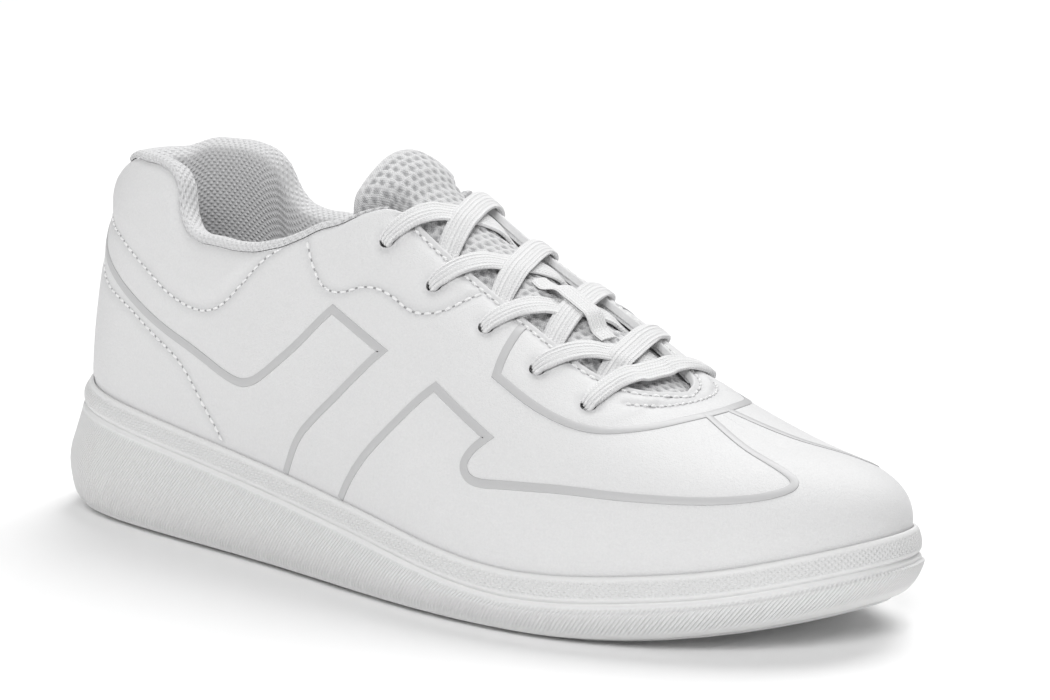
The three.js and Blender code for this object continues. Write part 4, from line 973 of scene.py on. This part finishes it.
def sew(name, lines, long=STITCH_LONG):
    """Rows of stitches with a painted shadow of a needle hole, a dark lens, between each two."""
    parts, painted_shadow = [], []
    pitch = long + STITCH_SPACE
    reach = long / pitch - 0.5
    for line in lines:
        p, n = on_skin(resample(line, pitch / 2))
        for i in range(0, len(p) - 1, 2):
            a, b = lerp(p[i], p[i + 1], -reach), lerp(p[i], p[i + 1], 1 + reach)
            side = unit(np.cross(b - a, n[i]))
            parts.append(stitch(a, b, n[i], n[i + 1], side))
            painted_shadow.append(0.0)
            if i + 2 < len(p):
                start, end = lerp(p[i + 1], p[i + 2], reach - 0.12), lerp(p[i + 1], p[i + 2], 1.12 - reach)
                # a dark lens painted as the shadow of the needle hole
                parts.append(painted_needle_shadow(start, end, n[i + 1], side))
                painted_shadow.append(1.0)
    points, faces = merged(parts)
    hole = np.concatenate([np.full(len(part[0]), value) for part, value in zip(parts, painted_shadow)])
    make_object(name, points, faces, THREAD, uv=points[:, :2], marks={"hole": hole}, sharp=80)


def build_stitches():
    sew("stitches_lateral", LATERAL_SEAMS)
    sew("stitches_medial", MEDIAL_SEAMS + [medial_seam()])
    sew("stitches_throat", [throat_row()])
    sew("stitches_crescent", [crescent()], long=1.6)


# ------------------------------------------------------------------ grey film lines
def ribbon(place, places):
    """Film on the skin: a flat band with round, steep edges."""
    p, n = on_skin(filled(rounded(places, STRIPE_CORNERS), 0.8))
    run_in = unit(np.diff(p, axis=0, prepend=p[:1] - (p[1:2] - p[:1])))
    run_out = unit(np.diff(p, axis=0, append=p[-1:] + (p[-1:] - p[-2:-1])))
    bend = np.sqrt(np.maximum((1 + np.sum(run_in * run_out, -1)) / 2, 0.3))
    across = unit(np.cross(n, unit(run_in + run_out))) / bend[:, None] * STRIPE_WIDE / 2
    # the third column is the painted shade at the edge: full at the base, little near the top
    side = [(1.05, -0.3, 1), (1.04, 0.02, 1), (0.99, 0.17, 0.1), (0.9, 0.22, 0)]   # across, up, edge
    section = [(-w, h, edge) for w, h, edge in side] + side[::-1]
    points, faces = tube(np.stack([p + across * w + n * h for w, h, _ in section], 1))
    edge = np.tile([edge for _, _, edge in section], len(p))
    obj = make_object(f"film_{place}", points, faces, FILM, marks={"edge": edge}, sharp=60)
    stands_for(obj, f"stripe_{place}")


def build_stripes():
    def flip(places):
        return [(u, 180 - v) for u, v in places]

    ribbon("rear_lateral", STRIPE_REAR)
    ribbon("front_lateral", STRIPE_FRONT)
    ribbon("front_medial", flip(STRIPE_FRONT))
    ribbon("throat", STRIPE_THROAT + flip(STRIPE_THROAT[-2::-1]))


# ------------------------------------------------------------------ padded collar and linings
def smooth_rows(points, count):
    """Each row of points (rows, k, 3) as a smooth curve with count points, evenly by length."""
    p = np.concatenate([2 * points[:, :1] - points[:, 1:2], points, 2 * points[:, -1:] - points[:, -2:-1]], 1)
    fine = []
    for i in range(1, p.shape[1] - 2):
        a, b, c, d = p[:, i - 1], p[:, i], p[:, i + 1], p[:, i + 2]
        for t in np.arange(12) / 12:
            fine.append(0.5 * (2 * b + (c - a) * t + (2 * a - 5 * b + 4 * c - d) * t * t
                               + (3 * b - a - 3 * c + d) * t**3))
    fine = np.stack(fine + [points[:, -1]], 1)
    step = np.linalg.norm(np.diff(fine, axis=1), axis=2)
    run = np.concatenate([np.zeros((len(fine), 1)), np.cumsum(step, 1)], 1)
    out = np.zeros((len(fine), count, 3))
    for r in range(len(fine)):
        at = np.linspace(0, run[r, -1], count)
        for k in range(3):
            out[r, :, k] = np.interp(at, run[r], fine[r, :, k])
    return out


def grid_normals(p):
    return unit(np.cross(np.gradient(p, axis=0), np.gradient(p, axis=1)))


def map_mm(p):
    """Distances in mm along both directions of a grid, for the weave."""
    across = np.cumsum(np.linalg.norm(np.diff(p, axis=1, prepend=p[:, :1]), axis=2), 1)
    middle = p[:, p.shape[1] // 2]
    along = np.cumsum(np.linalg.norm(np.diff(middle, axis=0, prepend=middle[:1]), axis=1))
    return np.stack([np.broadcast_to(along[:, None], across.shape), across], -1)


def build_collar():
    """The padded lining: from the skin's edge over the rolled rim and down the inside."""
    step = 1.1
    s = np.concatenate([spaced(-0.462, 0, step), spaced(0, 0.462, step)[1:]])
    u = np.abs(s)
    top, low = topline(u), foam_low(u)
    out = -SKIN - LAYER_GAP
    behind = (BACKING + LAYER_GAP + EYESTAY_SINK) * smooth(0.385, 0.405, u)
    deep = out - lerp(FOAM, 1.4, smooth(0.38, 0.45, u)) - behind - GAP - LINING
    mid = deep / 2
    per_mm = degrees_per_mm(s, top)
    puff = 1.4 * smooth(0.44, 0.36, u)
    rim = RIM * lerp(0.35, 1, smooth(0.455, 0.41, u))
    rolled = [
        (0.05, -1.15), (0.17, -0.75), (0.47, -0.45), (0.82, mid * 0.32), (1, mid * 0.75),
        (0.86, lerp(mid, deep, 0.45)), (0.3, deep - 0.1 - puff * 0.3),
    ]
    inside = [
        (0.75, deep - 0.2 - puff), (0.45, deep - 0.2 - puff * 0.8), (0.2, deep - 0.1 - puff * 0.2),
    ]
    section = [(top + rim * share * per_mm, d + 0 * u) for share, d in rolled]
    section += [(lerp(low, top, share), d) for share, d in inside] + [(low - 1.5, deep)]
    control = np.stack([skin(s, v, d) for v, d in section], 1)
    face = smooth_rows(control, 46)
    normal = grid_normals(face)
    towards = skin(s, low, deep) - skin(s, low, out)
    normal *= np.sign(np.sum(normal[:, -3] * towards, -1).mean())
    obj = sheet("collar_padding", face, face - normal * 0.9, WAFFLE, uv=map_mm(face))
    stands_for(obj, "collar_lining")


def build_linings():
    """Knit linings inside the quarters, below the padding."""
    out = -SKIN - STIFFENER - 2 * LAYER_GAP
    step = 1.8
    side_gap = GAP / (1.05 * LENGTH)
    for side, name in ((-1, "lateral"), (1, "medial")):
        s = spaced(side * side_gap, side * (SEAM_U - side_gap), step)[:, None]
        u = np.abs(s)
        under = foam_low(u) - 3.2
        front = topline(u) - 26
        high = lerp(under, np.maximum(under, front), smooth(0.47, 0.5, u))
        k = np.linspace(0, 1, 24)[None, :]
        v = np.concatenate([np.array([-1, -0.66, -0.33])[None, :] + 0 * high, 0.02 + (high - 0.02) * k], 1)
        s = np.broadcast_to(s, v.shape)
        face = skin(s, v, out - LINING)
        knitted = sheet(f"quarter_lining_{name}_knit", face, skin(s, v, out), WAFFLE, uv=map_mm(face))
        stands_for(knitted, f"quarter_lining_{name}")


# ------------------------------------------------------------------ tongue
TONGUE_TOP_U, TONGUE_END_U, TONGUE_PAD_END_U = 0.438, 0.735, 0.69
LACE_DEEP = max(LACE_THICK, EYELET * 0.34)
UNDER_LACE = SKIN + BACKING + 2 * LAYER_GAP + EYESTAY_SINK + LACE_DEEP + 2 * GAP + 0.6
TONGUE_BASE = -SKIN - LAYER_GAP - PATCH - 0.35
TONGUE_CENTRE = -SKIN - BACKING - 2 * LAYER_GAP - 0.5
TONGUE_CROWN, TONGUE_ROUND, TONGUE_SIDE = 1.9, -0.009, -3.9
tongue_half = table([(0.438, 42), (0.466, 42), (0.5, 41), (0.6, 36), (0.65, 32), (0.7, 25), (0.735, 20)])
PIT_PITCH, PIT_RADIUS, PIT_DEEP = 3.1, 1.1, 0.45


def tongue_outer(u, theta):
    """Level of the tongue's face: full between the throat's edges, low under them and at the collar."""
    v = np.where(theta <= 90, theta, 180 - theta)
    free = smooth(0.472, 0.455, u)
    held = np.maximum(69, np.where(u < THROAT_END_U, topline(u), 90))
    edge = lerp(held, topline(u) + 3.5, free)
    flat = smooth(0.68, 0.708, u)
    rise = lerp(smooth(0, 1, (v - edge + 1) / lerp(6, 8, free)), 1, flat)
    margin = lerp(-UNDER_LACE - 2.2, TONGUE_SIDE, smooth(0.47, 0.51, u))
    crown = TONGUE_CENTRE + 0.35 + (TONGUE_CROWN - 0.35) * free
    return lerp(margin, lerp(crown, TONGUE_BASE, flat), rise)


def pressed(face, normal, level, reach=2.6):
    """The level of a padded face pushed down where the lace runs over it."""
    path = lace_path()
    out, up = over_frame(path[:, 0], path[:, 1])
    centre = out + up * path[:, 2:3]
    laces, _ = spline_through(np.concatenate([centre, path[:, 2:5]], 1), centre, 0.8)
    tree = kd_tree(laces[:, :3])
    low = np.array(level, float)
    for at in np.ndindex(low.shape):
        own = low[at]
        for place, k, _ in tree.find_n(Vector(face[at]), 4):
            aside = np.array(place) - face[at]
            r = math.sqrt(max(0.0, float(aside @ aside) - float(aside @ normal[at]) ** 2))
            share = min(1.0, max(0.0, (laces[k, 4] + reach - r) / (reach - 0.2)))
            share *= share * (3 - 2 * share)
            under = min(laces[k, 3] - laces[k, 5] - 0.2, own)
            low[at] = min(low[at], own + (under - own) * share)
    return low


def pits(uv):
    """Depth 0..1 of the round holes of the mesh, in staggered rows."""
    rise = PIT_PITCH * math.sqrt(3) / 2
    row = np.round(uv[..., 1] / rise)
    shift = np.where(np.mod(row, 2) > 0.5, PIT_PITCH / 2, 0)
    x = uv[..., 0] - shift
    x = x - np.round(x / PIT_PITCH) * PIT_PITCH
    y = uv[..., 1] - row * rise
    return smooth(PIT_RADIUS, PIT_RADIUS * 0.75, np.hypot(x, y))


def build_tongue():
    """A padded form with round edges, all in open mesh, with the pits only on its face."""
    fine = 0.5
    first = TONGUE_TOP_U + np.array([0, 0.0012, 0.003, 0.006]) * 0.6
    u = np.concatenate([first, np.linspace(TONGUE_TOP_U + 0.005, TONGUE_END_U, int(96 / fine))])[:, None]
    half = tongue_half(u)
    count = int(62 / fine)
    k = np.sin(np.linspace(-1, 1, count) * math.pi / 2 * 0.999)
    k = (np.sign(k) * np.abs(k) ** 0.9)[None, :]
    theta = 90 + half * k
    end = np.clip((u - TONGUE_TOP_U) / 0.014, 0, 1)
    u = u + TONGUE_ROUND * np.abs(k) ** 2.5 * smooth(0.495, TONGUE_TOP_U, u)
    full = TONGUE_MESH + TONGUE_FOAM + TONGUE_LINING + 2 * GAP + 0.3
    pad = lerp(1.0, 0.25, smooth(TONGUE_PAD_END_U - 0.03, TONGUE_PAD_END_U, u))
    thin = lerp(1, 0.55, np.abs(k) ** 3)
    top = tongue_outer(u, theta)
    thick = full * pad * thin
    _, normal = over_frame(u, theta)
    top = pressed(over(u, theta, top), normal, top)
    crown = np.sqrt(np.maximum(1 - np.abs(k) ** 7, 0)) * np.sqrt(np.maximum(1 - (1 - end) ** 2, 0))
    puff = 0.7 * smooth(1.0, 0.6, np.abs(k)) * smooth(0.48, 0.455, u)
    face = over(u, theta, top + puff - thick / 2 * (1 - crown))
    back = over(u, theta, top - thick + thick / 2 * (1 - crown))
    uv = map_mm(face)
    uv = np.stack([uv[..., 1], uv[..., 0]], -1)
    uv[..., 0] -= uv[:, count // 2, 0][:, None]
    border = smooth(0.97, 0.86, np.abs(k)) * smooth(0.05, 0.5, end)
    pit = pits(uv) * border
    face = face - normal * (pit * PIT_DEEP)[..., None]
    obj = sheet("tongue_pad", face, back, SPACER, "tongue", uv=uv, pit=pit)
    stands_for(obj, "tongue_mesh", "tongue_foam", "tongue_lining")


# ------------------------------------------------------------------ lace
HALF_W, HALF_T = LACE_WIDE / 2, LACE_THICK / 2
BUNCH_W, BUNCH_T = EYELET * 0.37, EYELET * 0.17
OUTSIDE = HALF_T + GAP + 0.1
INSIDE = -(SKIN + BACKING + 2 * LAYER_GAP + EYESTAY_SINK + BUNCH_T + 0.3)
LOW_CROSS = TONGUE_CENTRE + 0.5 + HALF_T
HIGH_CROSS = LOW_CROSS + LACE_THICK + 0.4
END_STUB = (0.006, 8)
LACE_RIBS = 4


def side_theta(v, side):
    return v if side < 0 else 180 - v


def into_eyelet(k, side):
    u, v = EYELETS[k]
    theta = side_theta(v, side)
    return [(u, theta, d, BUNCH_W, BUNCH_T) for d in (OUTSIDE * 0.45, INSIDE * 0.45, INSIDE - 0.1)]


def across(a, b, start_over, end_over, cross):
    """Knots (u, theta, height, half width, half thickness) from place a to place b over the tongue."""
    levels = {   # at the eyelet, the throat edge, just inside it and near the middle
        True: (OUTSIDE + 0.2, OUTSIDE, lerp(OUTSIDE, cross, 0.35), lerp(cross, OUTSIDE, 0.12)),
        False: (INSIDE, INSIDE + 0.15, LOW_CROSS - 0.35, lerp(cross, LOW_CROSS, 0.12)),
    }
    sizes = [
        (lerp(BUNCH_W, HALF_W, 0.35), lerp(BUNCH_T, HALF_T, 0.5)), (HALF_W * 0.78, HALF_T),
        (HALF_W * 0.95, HALF_T), (HALF_W, HALF_T),
    ]

    def knot(theta, *rest):
        return (lerp(a[0], b[0], (theta - a[1]) / (b[1] - a[1])), theta, *rest)

    def half(end, is_over):
        """The knots from one end nearly to the crest."""
        mouth = max(69, float(topline(end[0])) + 0.5)
        turned = end[1] > 90
        angles = [180 - v if turned else v for v in (61, mouth - 1, mouth + 7, 84)]
        return [knot(theta, d, *size) for theta, d, size in zip(angles, levels[is_over], sizes)]

    return half(a, start_over) + [knot(90, cross, HALF_W, HALF_T)] + half(b, end_over)[::-1]


def half_lace(side):
    path = []
    for k, (u, v) in enumerate(EYELETS):
        here = side * (-1 if k % 2 else 1)
        path += into_eyelet(k, here)
        if k + 1 < len(EYELETS):
            start = (u, side_theta(v, here))
            end = (EYELETS[k + 1][0], side_theta(EYELETS[k + 1][1], -here))
            path += across(start, end, False, True, HIGH_CROSS if here < 0 else LOW_CROSS)
        else:
            for share in (0.4, 1.0):
                place = (u + END_STUB[0] * share, side_theta(v + END_STUB[1] * share, here))
                path.append((*place, INSIDE, BUNCH_W, BUNCH_T))
    return path


def lace_path():
    u, v = EYELETS[0]
    bar = across((u, v), (u, 180 - v), True, True, lerp(LOW_CROSS, OUTSIDE, 0.4))
    return np.array(half_lace(-1)[::-1] + bar + half_lace(1))


def spline_through(values, centre, step):
    """Values at the knots carried along a centripetal curve, at about step mm; also the run in mm."""
    gaps = np.maximum(np.linalg.norm(np.diff(centre, axis=0), axis=1), 1e-3) ** 0.5
    knots = np.concatenate([[0], np.cumsum(gaps)])
    slopes = np.gradient(values, knots, axis=0)
    flat = np.linspace(0, knots[-1], int(knots[-1] * 40))
    i = np.clip(np.searchsorted(knots, flat, side="right") - 1, 0, len(knots) - 2)
    h = knots[i + 1] - knots[i]
    t = ((flat - knots[i]) / h)[:, None]
    h = h[:, None]
    dense = hermite(t, h, values[i], values[i + 1], slopes[i], slopes[i + 1])
    run = run_along(dense[:, :3])
    at = np.linspace(0, run[-1], int(run[-1] / step))
    return np.stack([np.interp(at, run, dense[:, k]) for k in range(dense.shape[1])], 1), at


def lace_rings(path, step, around):
    """Rings of points round the lace, with its weave map and how deep each point lies in a fold."""
    centre, normal = over_frame(path[:, 0], path[:, 1])
    centre = centre + normal * path[:, 2:3]
    last = len(centre) - 1
    flat = []
    for i in range(len(centre)):
        run = square_to(centre[min(i + 3, last)] - centre[max(i - 3, 0)], normal[i])
        flat.append(unit(np.cross(normal[i], run)))
    flat = np.array(flat)
    for i in range(1, len(flat)):
        if flat[i] @ flat[i - 1] < 0:
            flat[i] = -flat[i]
    values, run = spline_through(np.concatenate([centre, flat, path[:, 3:5]], 1), centre, step)
    c, w = values[:, :3], values[:, 3:6]
    tangent = unit(np.gradient(c, axis=0))
    w = unit(square_to(w, tangent))
    h = np.cross(tangent, w)
    angle = np.arange(around) * 2 * math.pi / around
    bunch = np.clip((HALF_W - values[:, 6]) / (HALF_W - BUNCH_W), 0, 1)[:, None]
    x = np.sign(np.cos(angle)) * np.abs(np.cos(angle)) ** 0.75
    y = np.sign(np.sin(angle)) * np.abs(np.sin(angle)) ** 0.45
    folds = 0.5 + 0.5 * np.cos(x[None, :] * math.pi * LACE_RIBS)
    wide = values[:, 6:7] + 0.25 * bunch
    thick = (values[:, 7:8] + 0.5 * bunch) * (1 - folds * lerp(0.14, 0.36, bunch))
    rings = (c[:, None] + w[:, None] * (x[None, :] * wide)[..., None]
             + h[:, None] * (y[None, :] * thick)[..., None])
    uv = np.stack(np.broadcast_arrays(run[:, None], x[None, :] * wide), -1)
    # crease is painted shade in the folds, stronger where the lace bunches into an eyelet
    crease = folds * lerp(0.25, 0.9, bunch)
    return rings, uv.reshape(-1, 2), crease.reshape(-1)


def build_lace():
    rings, uv, crease = lace_rings(lace_path(), *(((0.45, 56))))
    points, faces = tube(rings)
    obj = make_object("lace_woven", points, faces, LACE, uv=uv, marks={"crease": crease}, sharp=75)
    stands_for(obj, "lace")


def build_keeper():
    """The small tape loop over the laces' crossing; its ends follow the tongue below."""
    a, b = KEEPER_U
    k = np.linspace(0, 1, 56)[:, None]
    lift = smooth(0.1, 0.32, k) * smooth(0.9, 0.68, k)
    j = np.linspace(-1, 1, 18)[None, :]
    tuck = 1 - 0.12 * (2 * np.abs(k - 0.5)) ** 8
    round_edge = 0.28 * np.abs(j) ** 6
    u, theta = np.broadcast_arrays(lerp(a, b, k), 90 + j * KEEPER_HALF * tuck)
    level = tongue_outer(u, theta)
    level = pressed(over(u, theta, level), over_frame(u, theta)[1], level)
    d = lerp(level + 0.15, HIGH_CROSS + HALF_T + GAP, lift)
    face = over(u, theta, d + KEEPER_THICK - round_edge)
    back = over(u, theta, d + round_edge)
    smooth_tape = np.zeros(face.shape[:2])
    obj = sheet("lace_keeper_tape", face, back, TAPE, uv=map_mm(face), crease=smooth_tape)
    stands_for(obj, "lace_keeper")


# ------------------------------------------------------------------ sole
def wall_profile(s):
    """Control points (inset, z) of the sole wall for each s, from the tread up and down the inside."""
    top = edge_z(base(s)[0])
    inner = inset_at(s)
    lip = inner - LIP_WIDE
    skirt = -TREAD * 0.6
    waist = (0.28, 2.0)            # the widest place of the wall
    neck = -LIP - 2.6              # where the groove below the lip band starts
    to_neck = 0.55
    rings = [   # inset, share of the way from the tread to the edge, mm above that
        (8.4, 0, 0), (8.1, 0, skirt), (5.2, 0, skirt), (2.8, 0, 0.9), (1.1, 0, 3.6), (0, *waist),
        (lip * 0.4, lerp(waist[0], 1, to_neck), lerp(waist[1], neck, to_neck)),
        (lip * 0.72, 1, neck), (lip * 0.76 - 0.15, 1, -LIP - 1.7), (lip * 0.8 + 0.75, 1, -LIP - 1.15),
        (lip * 0.84 + 0.75, 1, -LIP - 0.75), (lip * 0.84 - 0.1, 1, -LIP - 0.3),
        (lip * 0.84 - 0.35, 1, 0.7 - LIP), (lip * 0.84 - 0.3, 1, 2.9 - LIP), (lip + 0.1, 1, -1.5),
        (lip + 0.75, 1, -0.25), (lip + 1.45, 1, -0.1), (inner - 0.12, 1, -0.5), (inner - 0.12, 1, -2.5),
        (inner - GAP, 0, CUP_FLOOR + 1.0), (inner - GAP, 0, CUP_FLOOR),
    ]
    inset = np.stack([ring[0] + 0 * s for ring in rings], 1)
    low = ground_z(outline(np.broadcast_to(s[:, None], inset.shape), inset)[0]) + TREAD + GAP
    z = [lerp(low[:, i], top, share) + rise for i, (_, share, rise) in enumerate(rings)]
    return np.stack([inset, np.stack(z, 1)], -1)


def chaikin(points, times):
    for _ in range(times):
        a, b = points[:, :-1], points[:, 1:]
        cut = np.stack([a * 0.75 + b * 0.25, a * 0.25 + b * 0.75], 2)
        cut = cut.reshape(len(points), -1, points.shape[2])
        points = np.concatenate([points[:, :1], cut[:, 1:-1], points[:, -1:]], 1)
    return points


def build_cup_sole():
    n = 640
    s = -1 + 2 * np.arange(n) / n
    profile = chaikin(wall_profile(s), 2)
    inset, z = profile[..., 0], profile[..., 1]
    cols = inset.shape[1]
    x, y, _, _ = outline(np.broadcast_to(s[:, None], inset.shape), inset)
    rings = np.stack([x - LENGTH / 2, y, z], -1)
    wall = quads_of(n, cols, wrap_rows=True)
    half = n // 2
    k = np.arange(half)
    mates = np.stack([k, (n - k) % n, (n - k - 1) % n, k + 1], 1)[1:-1]
    ends = [np.array([[0, n - 1, 1]]), np.array([[half - 1, half + 1, half]])]
    bottom = [mates * cols] + [e * cols for e in ends]
    top = [mates[:, ::-1] * cols + cols - 1] + [e[:, ::-1] * cols + cols - 1 for e in ends]
    steps = np.hypot(np.diff(x[:, 20], append=x[:1, 20]), np.diff(y[:, 20], append=y[:1, 20]))
    along = RIB_PITCH / math.cos(math.radians(RIB_ANGLE))
    round_trip = round(steps.sum() / along) * along
    run = np.concatenate([[0], np.cumsum(steps)[:-1]]) * round_trip / steps.sum()
    uv = np.stack(np.broadcast_arrays(run[:, None], z), -1).reshape(-1, 2)
    outer = np.arange(cols)[None, :] / cols
    edge = edge_z(base(s)[0])[:, None]
    below = smooth(-LIP - 1.9, -LIP - 2.9, z - edge) * smooth(2.4, 4.2, z - ground_z(x))
    band = smooth(-LIP + 0.4, -LIP + 1.2, z - edge) * smooth(-0.9, -1.8, z - edge)
    ribbed, checked = (np.where(outer < 0.86, zone, 0).reshape(-1) for zone in (below, band))
    obj = make_object("cup_sole_rubber", rings.reshape(-1, 3), [wall] + bottom + top, RUBBER, uv=uv,
                      marks={"ribbed": ribbed, "checked": checked}, sharp=45, round_trip=round_trip)
    stands_for(obj, "cup_sole")


def finish_nodes():
    """Materials for the nodes that show as they are."""
    chosen = {
        PLAIN_RUBBER: ["tread_heel", "tread_forefoot"],
        CORE: ["midsole_core"],
        STIFF: ["shank", "toe_puff", "heel_stiffener"],
        STAY: ["eyestay_lateral", "eyestay_medial", "throat_patch"],
        FIBRE: ["lasting_board"],
        SOFT_FOAM: ["footbed", "collar_foam"],
        BED_KNIT: ["footbed_cover"],
        LINING_KNIT: ["vamp_lining"],
    }
    for material, names in chosen.items():
        for name in names:
            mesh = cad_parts[name].data
            mesh.materials.clear()
            mesh.materials.append(material)


# ------------------------------------------------------------------ room, light and camera
def plain(name, color, roughness, glow=0.0):
    material = bpy.data.materials.new(name)
    material.use_nodes = True
    shader = material.node_tree.nodes["Principled BSDF"]
    shader.inputs["Base Color"].default_value = (*color, 1)
    shader.inputs["Roughness"].default_value = roughness
    shader.inputs["Specular IOR Level"].default_value = 0.2
    shader.inputs["Emission Color"].default_value = (1, 1, 1, 1)
    shader.inputs["Emission Strength"].default_value = glow
    return material


def build_floor():
    bpy.ops.mesh.primitive_circle_add(vertices=96, radius=9, fill_type="NGON", location=(0, 0, 0))
    floor = bpy.context.object
    floor.name = "floor"
    floor.data.materials.append(plain("pale_floor", (0.94, 0.94, 0.94), 0.8, glow=0.02))


def placed(name, data, place, target):
    """A camera or light at a place, looking at the target."""
    obj = bpy.data.objects.new(name, data)
    bpy.context.scene.collection.objects.link(obj)
    obj.location = place
    obj.rotation_mode = "QUATERNION"
    obj.rotation_quaternion = (Vector(target) - Vector(place)).to_track_quat("-Z", "Y")
    return obj


def soft_light(name, place, size, power):
    data = bpy.data.lights.new(name, "AREA")
    data.shape = "RECTANGLE"
    data.size, data.size_y = size
    data.energy = power
    placed(name, data, place, (0, 0, 0.04))


def build_light():
    world = bpy.data.worlds.new("studio")
    bpy.context.scene.world = world
    world.use_nodes = True
    background = world.node_tree.nodes["Background"]
    background.inputs["Color"].default_value = (1, 1, 1, 1)
    background.inputs["Strength"].default_value = 0.2
    soft_light("overhead", (-0.3, 1.25, 2.0), (1.8, 1.8), 52)
    soft_light("front_fill", (0.9, -1.5, 1.4), (1.2, 0.8), 27)
    soft_light("heel_side", (-1.6, -0.7, 0.6), (0.8, 0.8), 4)
    bpy.context.scene.view_settings.view_transform = "Standard"
    bpy.context.scene.view_settings.look = "None"


AZIMUTH, ELEVATION, DISTANCE = 41.25, 11.8, 1.2
TARGET = (0.0259, 0.0, 0.0672)


def build_camera():
    a, e = math.radians(AZIMUTH), math.radians(ELEVATION)
    back = Vector((math.sin(a) * math.cos(e), -math.cos(a) * math.cos(e), math.sin(e)))
    data = bpy.data.cameras.new("camera")
    data.lens, data.sensor_width = 145, 36
    place = Vector(TARGET) + back * DISTANCE
    bpy.context.scene.camera = placed("camera", data, place, TARGET)


build_camera()
build_skin()
build_stitches()
build_stripes()
build_collar()
build_linings()
build_tongue()
build_lace()
build_keeper()
build_cup_sole()
finish_nodes()
build_floor()
build_light()
